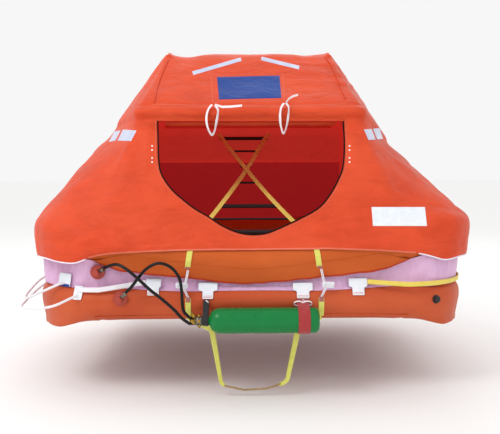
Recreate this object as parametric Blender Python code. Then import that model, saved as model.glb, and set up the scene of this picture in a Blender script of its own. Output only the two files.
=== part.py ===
import math

import bmesh
import bpy
from mathutils import Vector

# Driving sizes in metres. Heights are measured up from the bottom of the lower tube.
DRAFT = 0.05
GAP = 0.0004
FABRIC = 0.006
SEAM = 0.0004
WEBBING = 0.003

# The tubes' centre line in plan: a rectangle with round corners.
HALF_LENGTH = 0.91
HALF_WIDTH = 0.70
CORNER_RADIUS = 0.22
TUBE_REACH = 0.10
LOWER_RISE = 0.084
UPPER_RISE = 0.0892
LOWER_HEIGHT = LOWER_RISE
UPPER_HEIGHT = 2 * LOWER_RISE + GAP + UPPER_RISE
CORNER_DROP = 0.030
CORNER_LIFT = 0.125
CORNER_SWELL = 0.010
TUBE_SIDES = 16

# The canopy's frame: a bar over the door at each end and one high arch between them.
BAR_Y = 0.455
BAR_HEIGHT = 0.950
BAR_HALF = 0.555
BAR_RADIUS = 0.036
BAR_SKIN = 0.0485
LEG_X = 0.490
ARCH_RADIUS = 0.046
RIDGE_HALF = 0.447
RIDGE_HEIGHT = 1.326
KINK_LEFT = (-0.755, 0.935)
KINK_RIGHT = (0.780, 0.840)
KINK_HALF_WIDTH = 0.055

# The door in the front panel: straight sides above, then a round bottom.
DOOR_HALF = 0.445
DOOR_TOP = 0.911
DOOR_SHOULDER = 0.660
DOOR_SILL = 0.386
DOOR_ROUNDNESS = 1.4

# The gas cylinder hangs across the front, below the middle.
CYLINDER_Y = -0.860
CYLINDER_HEIGHT = 0.018
CYLINDER_RADIUS = 0.056
CYLINDER_LEFT = -0.188
CYLINDER_RIGHT = 0.292
NECK_RADIUS = 0.0185
SLING_PIN = (-0.8043, 0.0985)
HEAD_LEFT = -0.252

# The boarding ladder hangs from the lower tube's front.
LADDER_PIN = (-0.782, 0.020)
LADDER_BOTTOM = -0.300

HOSE_RADIUS = 0.007
HOSE_STEP = 0.032


for old in list(bpy.data.objects):
    bpy.data.objects.remove(old, do_unlink=True)


def make_material(name, color, roughness, metallic=0.0):
    material = bpy.data.materials.new(name)
    material.use_nodes = True
    shader = material.node_tree.nodes["Principled BSDF"]
    shader.inputs["Base Color"].default_value = (*color, 1.0)
    shader.inputs["Roughness"].default_value = roughness
    shader.inputs["Metallic"].default_value = metallic
    return material


CANOPY_CLOTH = make_material("canopy_cloth", (0.87, 0.10, 0.045), 0.45)
TUBE_CLOTH = make_material("tube_cloth", (0.62, 0.14, 0.055), 0.42)
ARCH_CLOTH = make_material("arch_cloth", (0.70, 0.05, 0.03), 0.45)
BAND_CLOTH = make_material("band_cloth", (0.72, 0.45, 0.66), 0.5)
FLOOR_CLOTH = make_material("floor_cloth", (0.32, 0.04, 0.03), 0.6)
PATCH_CLOTH = make_material("patch_cloth", (0.85, 0.84, 0.86), 0.5)
WHITE_WEBBING = make_material("white_webbing", (0.80, 0.78, 0.82), 0.8)
YELLOW_WEBBING = make_material("yellow_webbing", (0.85, 0.66, 0.07), 0.7)
RED_WEBBING = make_material("red_webbing", (0.35, 0.02, 0.02), 0.7)
BLACK_RUBBER = make_material("black_rubber", (0.012, 0.012, 0.012), 0.45)
GREEN_PAINT = make_material("green_paint", (0.006, 0.27, 0.07), 0.3)
VALVE_BRASS = make_material("valve_brass", (0.45, 0.40, 0.30), 0.35, 1.0)
RED_PLASTIC = make_material("red_plastic", (0.60, 0.07, 0.04), 0.4)
PALE_PLASTIC = make_material("pale_plastic", (0.75, 0.50, 0.50), 0.4)


# The raft's frame puts the waterline at height zero, and each hinge is an empty on its axis.
def make_empty(name, place, parent=None):
    empty = bpy.data.objects.new(name, None)
    bpy.context.collection.objects.link(empty)
    empty.location = place
    empty.parent = parent
    return empty


RAFT = make_empty("raft_frame", (0, 0, -DRAFT))
CYLINDER_HINGE = make_empty("cylinder_hinge", (0, *SLING_PIN), RAFT)
LADDER_HINGE = make_empty("ladder_hinge", (0, *LADDER_PIN), RAFT)


def carry(thing, carrier):
    # A piece is drawn in the raft's frame, then handed to the empty that carries it.
    thing.parent = carrier
    if carrier is not RAFT:
        thing.location = -Vector(carrier.location)
    return thing


def solid(name, points, faces, material, carrier=RAFT, smooth=True):
    mesh = bpy.data.meshes.new(name)
    mesh.from_pydata([tuple(point) for point in points], [], faces)
    shape = bmesh.new()
    shape.from_mesh(mesh)
    bmesh.ops.recalc_face_normals(shape, faces=shape.faces)
    shape.to_mesh(mesh)
    shape.free()
    if smooth:
        mesh.shade_smooth()
        mesh.set_sharp_from_angle(angle=math.radians(35))
    mesh.materials.append(material)
    thing = bpy.data.objects.new(name, mesh)
    bpy.context.collection.objects.link(thing)
    return carry(thing, carrier)


def loft(name, sections, material, carrier=RAFT, ring=False, strip=False):
    # Joins closed sections of equal point counts, into a bar or into a ring. A ring's faces are
    # split from each section's point to the next section's next point. A strip's sections list
    # one face's points and then the other's backwards, and both faces are split alike.
    count = len(sections[0])
    points = [point for section in sections for point in section]
    faces = []
    last = len(sections) if ring else len(sections) - 1
    for row in range(last):
        here = row * count
        after = (row + 1) % len(sections) * count
        for side in range(count):
            turn = (side + 1) % count
            if strip and side >= count // 2:
                faces.append((here + side, here + turn, after + side))
                faces.append((here + turn, after + turn, after + side))
            elif ring:
                faces.append((here + side, here + turn, after + turn))
                faces.append((here + side, after + turn, after + side))
            else:
                faces.append((here + side, here + turn, after + turn, after + side))
    if not ring:
        faces.append(tuple(range(count)))
        faces.append(tuple(range(len(points) - count, len(points))))
    return solid(name, points, faces, material, carrier)


def turned(name, profile, start, axis, material, carrier=RAFT, sides=20):
    # A profile of (distance along the axis, radius) turned about it, ending in flat faces.
    axis = Vector(axis).normalized()
    across = axis.orthogonal().normalized()
    upward = axis.cross(across)
    sections = []
    for along, radius in profile:
        middle = Vector(start) + axis * along
        section = []
        for side in range(sides):
            angle = 2 * math.pi * side / sides
            section.append(middle + radius * (math.cos(angle) * across + math.sin(angle) * upward))
        sections.append(section)
    return loft(name, sections, material, carrier)


def box(name, low, high, material, carrier=RAFT):
    points = [(x, y, z) for x in (low[0], high[0]) for y in (low[1], high[1]) for z in (low[2], high[2])]
    faces = [(0, 1, 3, 2), (4, 6, 7, 5), (0, 4, 5, 1), (2, 3, 7, 6), (0, 2, 6, 4), (1, 5, 7, 3)]
    return solid(name, points, faces, material, carrier, smooth=False)


def ribbon(name, route, flat, width, material, carrier=RAFT, ring=False, thickness=WEBBING, normals=None):
    # Webbing along a route, its width along the direction called flat, or along one for each point.
    # Where it lies on a surface, the surface's normals set its width instead.
    route = [Vector(point) for point in route]
    flats = flat if isinstance(flat, list) or normals else [Vector(flat)] * len(route)
    sections = []
    for index, point in enumerate(route):
        before = route[index - 1] if ring or index else point
        after = route[(index + 1) % len(route)] if ring or index < len(route) - 1 else point
        incoming = (point - before).normalized() if point != before else (after - point).normalized()
        outgoing = (after - point).normalized() if point != after else incoming
        along = (incoming + outgoing).normalized()
        edge = along.cross(normals[index]) if normals else flats[index] - flats[index].dot(along) * along
        edge.normalize()
        face = along.cross(edge)
        mitre = max(0.35, along.dot(outgoing))
        wide = edge * width / 2
        thick = face * thickness / 2 / mitre
        sections.append([point - wide - thick, point + wide - thick, point + wide + thick, point - wide + thick])
    return loft(name, sections, material, carrier, ring)


def pipe(name, route, radius, material, resolution=3):
    # A round tube along a route, as a bevelled curve with closed ends.
    curve = bpy.data.curves.new(name, "CURVE")
    curve.dimensions = "3D"
    curve.bevel_depth = radius
    curve.bevel_resolution = resolution
    curve.use_fill_caps = True
    spline = curve.splines.new("POLY")
    spline.points.add(len(route) - 1)
    for point, place in zip(spline.points, route):
        point.co = (*place, 1.0)
    curve.materials.append(material)
    thing = bpy.data.objects.new(name, curve)
    bpy.context.collection.objects.link(thing)
    return carry(thing, RAFT)


def round_corners(points, radius, steps=4):
    # Replaces each inner corner of a polyline by an arc of chords.
    points = [Vector(point) for point in points]
    route = [points[0]]
    for before, corner, after in zip(points, points[1:], points[2:]):
        entry = (before - corner).normalized()
        leave = (after - corner).normalized()
        half = entry.angle(leave) / 2
        reach = radius / math.tan(half)
        middle = corner + (entry + leave).normalized() * radius / math.sin(half)
        first = corner + entry * reach - middle
        final = corner + leave * reach - middle
        for step in range(steps + 1):
            route.append(middle + first.slerp(final, step / steps).normalized() * radius)
    route.append(points[-1])
    return route


def smooth_route(points, spacing):
    # Points evenly spaced along a smooth curve through the route's own points.
    points = [Vector(point) for point in points]
    ends = [points[0] * 2 - points[1]] + points + [points[-1] * 2 - points[-2]]
    fine = []
    for a, b, c, d in zip(ends, ends[1:], ends[2:], ends[3:]):
        for step in range(16):
            t = step / 16
            fine.append(0.5 * (2 * b + (c - a) * t + (2 * a - 5 * b + 4 * c - d) * t * t
                               + (3 * b - a - 3 * c + d) * t ** 3))
    fine.append(points[-1])
    lengths = [0.0]
    for here, after in zip(fine, fine[1:]):
        lengths.append(lengths[-1] + (after - here).length)
    count = max(2, round(lengths[-1] / spacing))
    route = []
    place = 0
    for step in range(count + 1):
        wanted = lengths[-1] * step / count
        while place < len(fine) - 2 and lengths[place + 1] < wanted:
            place += 1
        share = (wanted - lengths[place]) / (lengths[place + 1] - lengths[place])
        route.append(fine[place].lerp(fine[place + 1], share))
    return route


# Stations around the ring. A quarter runs from the middle of an end to the middle of a side.
CORNER_STEPS = 5
END_STEPS = (0.0, 0.25, 0.50)
SIDE_STEPS = (0.24, 0.0)
QUARTER = len(END_STEPS) + CORNER_STEPS + len(SIDE_STEPS)
STATIONS = 4 * QUARTER


def quarter_stations():
    corner_x = HALF_LENGTH - CORNER_RADIUS
    corner_y = HALF_WIDTH - CORNER_RADIUS
    stations = [(x, HALF_WIDTH, 0.0, 1.0) for x in END_STEPS]
    for step in range(CORNER_STEPS + 1):
        turn = math.radians(90) * step / CORNER_STEPS
        sine, cosine = math.sin(turn), math.cos(turn)
        stations.append((corner_x + CORNER_RADIUS * sine, corner_y + CORNER_RADIUS * cosine, sine, cosine))
    stations += [(HALF_LENGTH, y, 1.0, 0.0) for y in SIDE_STEPS]
    return stations


QUARTER_TABLE = quarter_stations()


def fold_station(station):
    # Gives a station's place in its quarter, and the signs of its side and its end.
    station = station % STATIONS
    quarter, place = divmod(station, QUARTER)
    if quarter % 2:
        place = QUARTER - place
    side = 1 if quarter in (0, 1) else -1
    end = -1 if quarter in (0, 3) else 1
    return place, side, end


def ring_station(station):
    place, side, end = fold_station(station)
    x, y, out_x, out_y = QUARTER_TABLE[place]
    return Vector((side * x, end * y, 0)), Vector((side * out_x, end * out_y, 0))


def corner_share(x, y):
    across = (abs(x) / HALF_LENGTH) ** 1.3
    along = 0.45 + 0.55 * (abs(y) / HALF_WIDTH) ** 1.5
    return min(1.0, across * along)


def tube_section(x, y, upper):
    # Height of the tube's centre and half its height there.
    share = corner_share(x, y)
    if upper:
        return UPPER_HEIGHT + CORNER_LIFT * share, UPPER_RISE + CORNER_SWELL * 0.7 * share
    return LOWER_HEIGHT - CORNER_DROP * share + CORNER_SWELL * share, LOWER_RISE + CORNER_SWELL * share


def on_tube(station, upper, degrees, lift=0.0):
    # A point on the tube at an angle above level, measured outward, lifted off its surface.
    place, outward = ring_station(station)
    height, rise = tube_section(place.x, place.y, upper)
    angle = math.radians(degrees)
    reach = (TUBE_REACH + lift) * math.cos(angle)
    return place + outward * reach + Vector((0, 0, height + (rise + lift) * math.sin(angle)))


# Tubes, the band between them and the floor.
def build_tube(name, upper):
    sections = []
    for station in range(STATIONS):
        sections.append([on_tube(station, upper, 360 * side / TUBE_SIDES) for side in range(TUBE_SIDES)])
    return loft(name, sections, TUBE_CLOTH, ring=True)


BAND_EDGES = (
    # on the upper tube, degrees, then how far the outer face stands outward and up from the inner one
    (False, 22.5, 0.0018, 0.0008),
    (False, 45, 0.0021, 0.0021),
    (True, -67.5, 0.0045, -0.0007),
    (True, -53, 0.0012, -0.0016),
)


def build_band():
    # A strip from the lower tube's shoulder up to the underside of the upper tube.
    sections = []
    for station in range(STATIONS):
        outward = ring_station(station)[1]
        inner = []
        outer = []
        for upper, degrees, out, up in BAND_EDGES:
            inner.append(on_tube(station, upper, degrees, GAP))
            outer.append(inner[-1] + outward * out + Vector((0, 0, up)))
        sections.append(inner + outer[::-1])
    return loft("tube_band", sections, BAND_CLOTH, ring=True, strip=True)


FLOOR_LOW = 0.006
FLOOR_THICK = 0.018


def build_floor():
    # A flat slab whose top edge meets the lower tube all round.
    points = []
    top = FLOOR_LOW + FLOOR_THICK
    for level in (FLOOR_LOW, top):
        for station in range(STATIONS):
            place, outward = ring_station(station)
            height, rise = tube_section(place.x, place.y, False)
            reach = TUBE_REACH * math.sqrt(1 - ((height - top) / rise) ** 2) + GAP
            points.append(place - outward * reach + Vector((0, 0, level)))
    points += [Vector((0, 0, FLOOR_LOW)), Vector((0, 0, top))]
    faces = []
    for station in range(STATIONS):
        after = (station + 1) % STATIONS
        faces.append((station, after, STATIONS + after, STATIONS + station))
        faces.append((after, station, 2 * STATIONS))
        faces.append((STATIONS + station, STATIONS + after, 2 * STATIONS + 1))
    return solid("floor", points, faces, FLOOR_CLOTH)


# The canopy's skin is one grid of points: rows from hem to ridge, columns at the stations.
SKIRT_DEGREES = (-45, -22.5, 0, 22.5)
SKIRT_ROWS = len(SKIRT_DEGREES)
SEAM_ROW = SKIRT_ROWS
WALL_SHARES = (0.35, 0.70)
WALL_SAG = 0.010
BAR_DEGREES = (-40, 15, 70)
BAR_ROW = SEAM_ROW + len(WALL_SHARES) + len(BAR_DEGREES)
ROOF_SHARE = 0.5
ROOF_SAG = 0.006
EAR_ROW = BAR_ROW + 2
RIDGE_ROW = EAR_ROW + 1
BAR_END = 3
HIP = 6


def kink_of(side):
    return KINK_RIGHT if side > 0 else KINK_LEFT


def between(keys, place):
    # Straight steps between named columns of the quarter.
    for (start, first), (stop, final) in zip(keys, keys[1:]):
        if place <= stop:
            return Vector(first).lerp(Vector(final), (place - start) / (stop - start))
    return Vector(keys[-1][1])


def upper_row(place, side, end, step):
    # The skin around the bar: step 0 under it, 1 in front of it, 2 above it.
    angle = math.radians(BAR_DEGREES[step])
    bar_y = BAR_Y + BAR_SKIN * math.cos(angle)
    bar_z = BAR_HEIGHT + BAR_SKIN * math.sin(angle)
    kink_x, kink_z = kink_of(side)
    inward = (0.0, 0.012, 0.036)[step]
    lift = (-0.018, 0.016, 0.052)[step]
    kink = (abs(kink_x) - inward, KINK_HALF_WIDTH, kink_z + lift)
    middle = (abs(kink_x) - inward, 0.0, kink_z + lift)
    keys = [(0, (0, bar_y, bar_z)), (BAR_END, (BAR_HALF, bar_y, bar_z)), (HIP, kink), (QUARTER, middle)]
    point = between(keys, place)
    return Vector((side * point.x, end * point.y, point.z))


def ear_row(place, side, end):
    keys = [(0, (0, 0.052, RIDGE_HEIGHT - 0.026)), (BAR_END, (RIDGE_HALF, 0.050, RIDGE_HEIGHT - 0.018)),
            (HIP, (RIDGE_HALF + 0.020, 0.034, RIDGE_HEIGHT - 0.030)),
            (QUARTER, (RIDGE_HALF + 0.028, 0.0, RIDGE_HEIGHT - 0.034))]
    point = between(keys, place)
    return Vector((side * point.x, end * point.y, point.z))


def ridge_row(place, side):
    keys = [(0, (0, 0, RIDGE_HEIGHT - 0.008)), (BAR_END, (RIDGE_HALF, 0, RIDGE_HEIGHT)),
            (QUARTER, (RIDGE_HALF + 0.004, 0, RIDGE_HEIGHT))]
    point = between(keys, place)
    return Vector((side * point.x, 0, point.z))


def skin_point(station, row):
    place, side, end = fold_station(station)
    lift = GAP + FABRIC
    if row < SKIRT_ROWS:
        return on_tube(station, True, SKIRT_DEGREES[row], lift)
    bulge = 0.006 if place > BAR_END + 1 else 0.0
    seam = on_tube(station, True, 45, lift + bulge)
    if row == SEAM_ROW:
        return seam
    if row < BAR_ROW - 2:
        share = WALL_SHARES[row - SEAM_ROW - 1]
        top = upper_row(place, side, end, 0)
        point = seam.lerp(top, share)
        inward = Vector((-point.x, -point.y, 0)).normalized()
        return point + inward * WALL_SAG * math.sin(math.pi * share)
    if row <= BAR_ROW:
        return upper_row(place, side, end, row - BAR_ROW + 2)
    if row == BAR_ROW + 1:
        point = upper_row(place, side, end, 2).lerp(ear_row(place, side, end), ROOF_SHARE)
        return point - Vector((0, 0, ROOF_SAG))
    if row == EAR_ROW:
        return ear_row(place, side, end)
    return ridge_row(place, side)


def skin_normal(station, row):
    # The outward direction, from the neighbouring points of the grid.
    after = skin_point(station + 1, row)
    before = skin_point(station - 1, row)
    around = after - before
    below = skin_point(station, max(row - 1, 0))
    if row < RIDGE_ROW:
        above = skin_point(station, row + 1)
    else:
        above = skin_point(2 * QUARTER - station, EAR_ROW)
    direction = around.cross(above - below)
    if direction.length < 1e-7:
        return Vector((0, 0, 1))
    return direction.normalized()


def panel(name, first_column, last_column, first_row, last_row):
    # One cloth panel of the skin, with a hairline gap to its neighbours at the seams.
    # Every wall is split along the same diagonal as its neighbour's, so the two stay apart.
    columns = range(first_column, last_column + 1)
    rows = range(first_row, last_row + 1)
    outer = []
    inner = []
    for row in rows:
        for column in columns:
            point = skin_point(column, row)
            shift = Vector((0, 0, 0))
            for at_edge, next_column, next_row in (
                    (column == first_column, column + 1, row), (column == last_column, column - 1, row),
                    (row == first_row, column, row + 1), (row == last_row, column, row - 1)):
                if at_edge:
                    shift += (skin_point(next_column, next_row) - point).normalized() * SEAM
            outer.append(point + shift)
            inner.append(point + shift - skin_normal(column, row) * FABRIC)
    wide = len(columns)
    total = len(outer)
    points = outer + inner
    faces = []
    for row in range(len(rows) - 1):
        for column in range(wide - 1):
            here = row * wide + column
            over = here + wide
            for start in (0, total):
                faces.append((start + here, start + here + 1, start + over + 1))
                faces.append((start + here, start + over + 1, start + over))
    edge = list(range(wide))
    edge += [row * wide + wide - 1 for row in range(1, len(rows))]
    edge += [(len(rows) - 1) * wide + column for column in range(wide - 2, -1, -1)]
    edge += [row * wide for row in range(len(rows) - 2, 0, -1)]
    for here, after in zip(edge, edge[1:] + edge[:1]):
        low, high = sorted((here, after))
        faces.append((low, high, total + high))
        faces.append((low, total + high, total + low))
    return solid(name, points, faces, CANOPY_CLOTH)


def door_outline():
    points = [(-DOOR_HALF, DOOR_SHOULDER)]
    steps = 20
    for step in range(steps):
        angle = math.pi * ((step + 0.5) / steps - 0.5)
        share = abs(math.sin(angle)) ** (2 / DOOR_ROUNDNESS)
        depth = math.cos(angle) ** (2 / DOOR_ROUNDNESS)
        x = math.copysign(share, angle) * DOOR_HALF
        points.append((x, DOOR_SHOULDER - (DOOR_SHOULDER - DOOR_SILL) * depth))
    return points + [(DOOR_HALF, DOOR_SHOULDER), (DOOR_HALF, DOOR_TOP), (-DOOR_HALF, DOOR_TOP)]


def cut_door(front):
    outline = door_outline()
    sections = [[(x, y, z) for x, z in outline] for y in (-0.95, -0.35)]
    cutter = loft("door_cutter", sections, CANOPY_CLOTH)
    cutter.hide_render = True
    cutter.display_type = "WIRE"
    cut = front.modifiers.new("door", "BOOLEAN")
    cut.operation = "DIFFERENCE"
    cut.object = cutter


def build_canopy():
    front = panel("canopy_front", -HIP, HIP, SEAM_ROW, BAR_ROW)
    cut_door(front)
    panel("canopy_rear", 2 * QUARTER - HIP, 2 * QUARTER + HIP, SEAM_ROW, BAR_ROW)
    panel("canopy_side_right", HIP, 2 * QUARTER - HIP, SEAM_ROW, BAR_ROW)
    panel("canopy_side_left", 2 * QUARTER + HIP, 4 * QUARTER - HIP, SEAM_ROW, BAR_ROW)
    skirt = BAR_END + 1
    panel("canopy_skirt_right", skirt, 2 * QUARTER - skirt, 0, SEAM_ROW)
    panel("canopy_skirt_left", 2 * QUARTER + skirt, 4 * QUARTER - skirt, 0, SEAM_ROW)
    panel("canopy_roof_front", -BAR_END, BAR_END, BAR_ROW, RIDGE_ROW)
    panel("canopy_roof_rear", 2 * QUARTER - BAR_END, 2 * QUARTER + BAR_END, BAR_ROW, RIDGE_ROW)
    panel("canopy_gable_right", BAR_END, 2 * QUARTER - BAR_END, BAR_ROW, EAR_ROW)
    panel("canopy_gable_left", 2 * QUARTER + BAR_END, 4 * QUARTER - BAR_END, BAR_ROW, EAR_ROW)


# The inflated arches inside the skin.
ARCH_INSET = 0.0665
LEG_TOP = (0.443, 0.8935)
LEG_RUN = (0.459, -0.888)


def tube_between(x, y, upper=True):
    # A tube's centre and half height beside a point, straight between the stations.
    if abs(y) > HALF_WIDTH - CORNER_RADIUS:
        first = min(int(abs(x) / END_STEPS[1]), len(END_STEPS) - 1)
        last = first + 1
        start, stop = QUARTER_TABLE[first][0], QUARTER_TABLE[last][0]
        share = min(1.0, (abs(x) - start) / (stop - start))
        centre = Vector((x, math.copysign(HALF_WIDTH, y), 0))
    else:
        first, last, share = QUARTER, QUARTER - 1, abs(y) / SIDE_STEPS[0]
        centre = Vector((math.copysign(HALF_LENGTH, x), y, 0))
    low = tube_section(*QUARTER_TABLE[first][:2], upper)
    high = tube_section(*QUARTER_TABLE[last][:2], upper)
    height, rise = (a + (b - a) * share for a, b in zip(low, high))
    return centre, height, rise


def facet_top(rise, offset):
    # How high the faceted tube stands above its centre, at a distance sideways from it.
    side = math.floor(math.acos(offset / TUBE_REACH) * TUBE_SIDES / (2 * math.pi))
    turns = [2 * math.pi * step / TUBE_SIDES for step in (side, side + 1)]
    (near, bottom), (far, top) = [(TUBE_REACH * math.cos(turn), rise * math.sin(turn)) for turn in turns]
    return bottom + (top - bottom) * (near - offset) / (near - far)


def foot_of(start, along, radius):
    # Where a tube that runs from start sets its flat end down on the upper tube.
    start = Vector(start)
    along = Vector(along).normalized()
    across = along.orthogonal().normalized()
    other = along.cross(across)
    step = 0.0002
    reach = 0.0
    while True:
        reach += step
        for side in range(16):
            angle = math.pi * side / 8
            rim = start + along * reach + radius * (math.cos(angle) * across + math.sin(angle) * other)
            centre, height, rise = tube_between(rim.x, rim.y)
            offset = (rim - centre).to_2d().length
            if offset < TUBE_REACH and rim.z < height + facet_top(rise, offset) + GAP:
                return start + along * (reach - step)


def inset_line(points, distance):
    # Moves a polyline sideways, to the right of its direction.
    moved = []
    lines = []
    for (x0, z0), (x1, z1) in zip(points, points[1:]):
        length = math.hypot(x1 - x0, z1 - z0)
        along = ((x1 - x0) / length, (z1 - z0) / length)
        lines.append(((x0 + along[1] * distance, z0 - along[0] * distance), along))
    for (start, first), (other, final) in zip(lines, lines[1:]):
        turn = first[0] * final[1] - first[1] * final[0]
        reach = ((other[0] - start[0]) * final[1] - (other[1] - start[1]) * final[0]) / turn
        moved.append((start[0] + first[0] * reach, start[1] + first[1] * reach))
    return lines, moved


def build_centre_arch():
    left = on_tube(3 * QUARTER, True, 45, GAP + FABRIC)
    right = on_tube(QUARTER, True, 45, GAP + FABRIC)
    ridge = RIDGE_HEIGHT - 0.004
    skin = [(left.x, left.z), KINK_LEFT, (-RIDGE_HALF - 0.02, ridge), (RIDGE_HALF + 0.02, ridge)]
    skin += [KINK_RIGHT, (right.x, right.z)]
    lines, corners = inset_line(skin, ARCH_INSET)
    bends = [Vector((x, 0, z)) for x, z in corners]
    first, last = lines[0][1], lines[-1][1]
    left_foot = foot_of(bends[0], (-first[0], 0, -first[1]), ARCH_RADIUS)
    right_foot = foot_of(bends[-1], (last[0], 0, last[1]), ARCH_RADIUS)
    route = round_corners([left_foot, *bends, right_foot], 0.09)
    pipe("arch_centre", route, ARCH_RADIUS, ARCH_CLOTH)


def build_end_arch(name, end):
    top = [(-LEG_X, end * BAR_Y, BAR_HEIGHT), (LEG_X, end * BAR_Y, BAR_HEIGHT)]
    foot = foot_of((LEG_X, end * LEG_TOP[0], LEG_TOP[1]), (0, end * LEG_RUN[0], LEG_RUN[1]), BAR_RADIUS)
    knee = (LEG_X, end * LEG_TOP[0], LEG_TOP[1])
    left = [(-foot[0], foot[1], foot[2]), (-knee[0], knee[1], knee[2])]
    route = round_corners(left + top + [knee, foot], 0.030, steps=3)
    pipe(name, route, BAR_RADIUS, ARCH_CLOTH)


# The rolled-up door curtain behind the bar, and its ties.
ROLL_RADIUS = 0.018
BAR_FLAT = BAR_RADIUS * 0.97


def build_door_fittings():
    lean = math.radians(45)
    apart = BAR_FLAT + ROLL_RADIUS + GAP
    roll_y = -BAR_Y + apart * math.cos(lean)
    roll_z = BAR_HEIGHT - apart * math.sin(lean)
    pipe("door_curtain_roll", [(-0.42, roll_y, roll_z), (0.42, roll_y, roll_z)], ROLL_RADIUS, CANOPY_CLOTH)
    front = -BAR_Y - BAR_SKIN * math.cos(math.radians(BAR_DEGREES[1])) - GAP
    for name, x, lean, drop in (("curtain_tie_left", -0.183, -0.004, 0.118), ("curtain_tie_right", 0.166, -0.010, 0.112)):
        top = BAR_HEIGHT + 0.018
        loop = [(x, top), (x - 0.013, top - 0.03), (x - 0.017 + lean, top - drop * 0.75), (x + lean, top - drop)]
        loop += [(x + 0.015 + lean, top - drop * 0.75), (x + 0.013, top - 0.03)]
        ribbon(name, [(px, front - 0.007, pz) for px, pz in loop], (0, 1, 0), 0.014, WHITE_WEBBING,
               ring=True, thickness=0.0015)


# The raft's outline where patches lie: between a station and the next, as their faces are split.
def cut_line(here, after, share):
    line = []
    for (low, top), (other_low, other_top) in zip(zip(here, here[1:]), zip(after, after[1:])):
        line.append(Vector(low).lerp(Vector(other_low), share))
        line.append(Vector(low).lerp(Vector(other_top), share))
    line.append(Vector(here[-1]).lerp(Vector(after[-1]), share))
    return line


def outlines(station, share):
    tubes = []
    bands = []
    for row in (station, station + 1):
        place = ring_station(row)[0]
        sections = [tube_section(place.x, place.y, upper) for upper in (False, True)]
        turns = [2 * math.pi * side / TUBE_SIDES for side in range(TUBE_SIDES + 1)]
        tubes.append([[(TUBE_REACH * math.cos(turn), middle + rise * math.sin(turn)) for turn in turns]
                      for middle, rise in sections])
        band = []
        for upper, degrees, out, up in BAND_EDGES:
            middle, rise = sections[int(upper)]
            turn = math.radians(degrees)
            band.append(((TUBE_REACH + GAP) * math.cos(turn) + out, middle + (rise + GAP) * math.sin(turn) + up))
        bands.append(band)
    return [cut_line(here, after, share) for here, after in [*zip(*tubes), bands]]


def stands_out(lines, height):
    # How far the outline stands out from the centre line at a height.
    reach = 0.0
    for line in lines:
        for (near, bottom), (far, top) in zip(line, line[1:]):
            if bottom != top and min(bottom, top) <= height <= max(bottom, top):
                reach = max(reach, near + (far - near) * (height - bottom) / (top - bottom))
    return reach


def patch_back(places, low, high, lean):
    # The flat back of a patch laid against the raft: its reach at the bottom, and its slope.
    heights = [low + (high - low) * step / 60 for step in range(61)]
    reaches = [max(stands_out(lines, height) for lines in places) for height in heights]
    slope = (reaches[-1] - reaches[0]) / (high - low) if lean else 0.0
    start = max(reach - slope * (height - low) for reach, height in zip(reaches, heights))
    return start + GAP * 1.25, slope


# Flat patches that lie on the band at the front. A tee's stem hangs below its bar.
def tee_patch(name, middle, top, bottom, half_bar, half_stem):
    bar_bottom = top - 0.48 * (top - bottom)
    outline = [(-half_bar, top), (half_bar, top), (half_bar, bar_bottom), (half_stem, bar_bottom)]
    outline += [(half_stem, bottom), (-half_stem, bottom), (-half_stem, bar_bottom), (-half_bar, bar_bottom)]
    start, slope = patch_back(tee_places(middle, half_bar), bottom, top, True)
    sections = []
    for depth in (0.0, WEBBING * math.hypot(1, slope)):
        section = []
        for x, z in outline:
            section.append((middle + x, -HALF_WIDTH - start - slope * (z - bottom) - depth, z))
        sections.append(section)
    return loft(name, sections, PATCH_CLOTH)


def tee_places(middle, half_bar):
    # The outlines across a tee patch's width.
    places = []
    for step in range(-3, 4):
        x = middle + half_bar * step / 3
        place = min(int(abs(x) / END_STEPS[1]), len(END_STEPS) - 1)
        start, stop = QUARTER_TABLE[place][0], QUARTER_TABLE[place + 1][0]
        share = (abs(x) - start) / (stop - start)
        places.append(outlines(place, share) if x > 0 else outlines(-place - 1, 1 - share))
    return places


TEE_PATCHES = (
    # name, middle x, top, bottom, half bar width, half stem width
    ("tee_patch_1", -0.446, 0.190, 0.119, 0.034, 0.026),
    ("tee_patch_2", -0.200, 0.172, 0.104, 0.043, 0.024),
    ("tee_patch_3", 0.228, 0.169, 0.104, 0.045, 0.028),
    ("tee_patch_4", 0.479, 0.187, 0.115, 0.042, 0.027),
)

LADDER_ANCHORS = (
    # name, middle x
    ("ladder_anchor_left", -0.316),
    ("ladder_anchor_right", 0.340),
)


def build_patches():
    for name, middle, top, bottom, half_bar, half_stem in TEE_PATCHES:
        tee_patch(name, middle, top, bottom, half_bar, half_stem)
    back = -HALF_WIDTH - TUBE_REACH - 2 * STRAP_LIFT - GAP
    for name, middle in LADDER_ANCHORS:
        box(name, (middle - 0.027, back - WEBBING, 0.150), (middle + 0.027, back, 0.180), PATCH_CLOTH)


LINE_PATCHES = (
    # name, station, bottom, top, half width, whether it leans on the band
    ("line_patch_right_front", 9, 0.072, 0.185, 0.045, False),
    ("line_patch_right_rear", 11, 0.072, 0.185, 0.045, False),
    ("line_patch_left_rear", 29, 0.072, 0.185, 0.045, False),
    ("line_patch_left_front", 31, 0.072, 0.185, 0.045, False),
    ("line_patch_corner", 35, 0.150, 0.210, 0.040, True),
    ("line_patch_front_left", 36, 0.100, 0.160, 0.022, True),
)


def line_patch(name, station, low, high, half_width, lean):
    # A flat patch against the outside of the raft at a station.
    place, outward = ring_station(station)
    along = Vector((-outward.y, outward.x, 0)) * half_width
    sections = []
    for front in (False, True):
        section = []
        for height, side in ((low, -1), (low, 1), (high, 1), (high, -1)):
            reach = patch_face(station, height) - (0 if front else WEBBING)
            section.append(place + outward * reach + along * side + Vector((0, 0, height)))
        sections.append(section)
    return loft(name, sections, PATCH_CLOTH)


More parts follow.
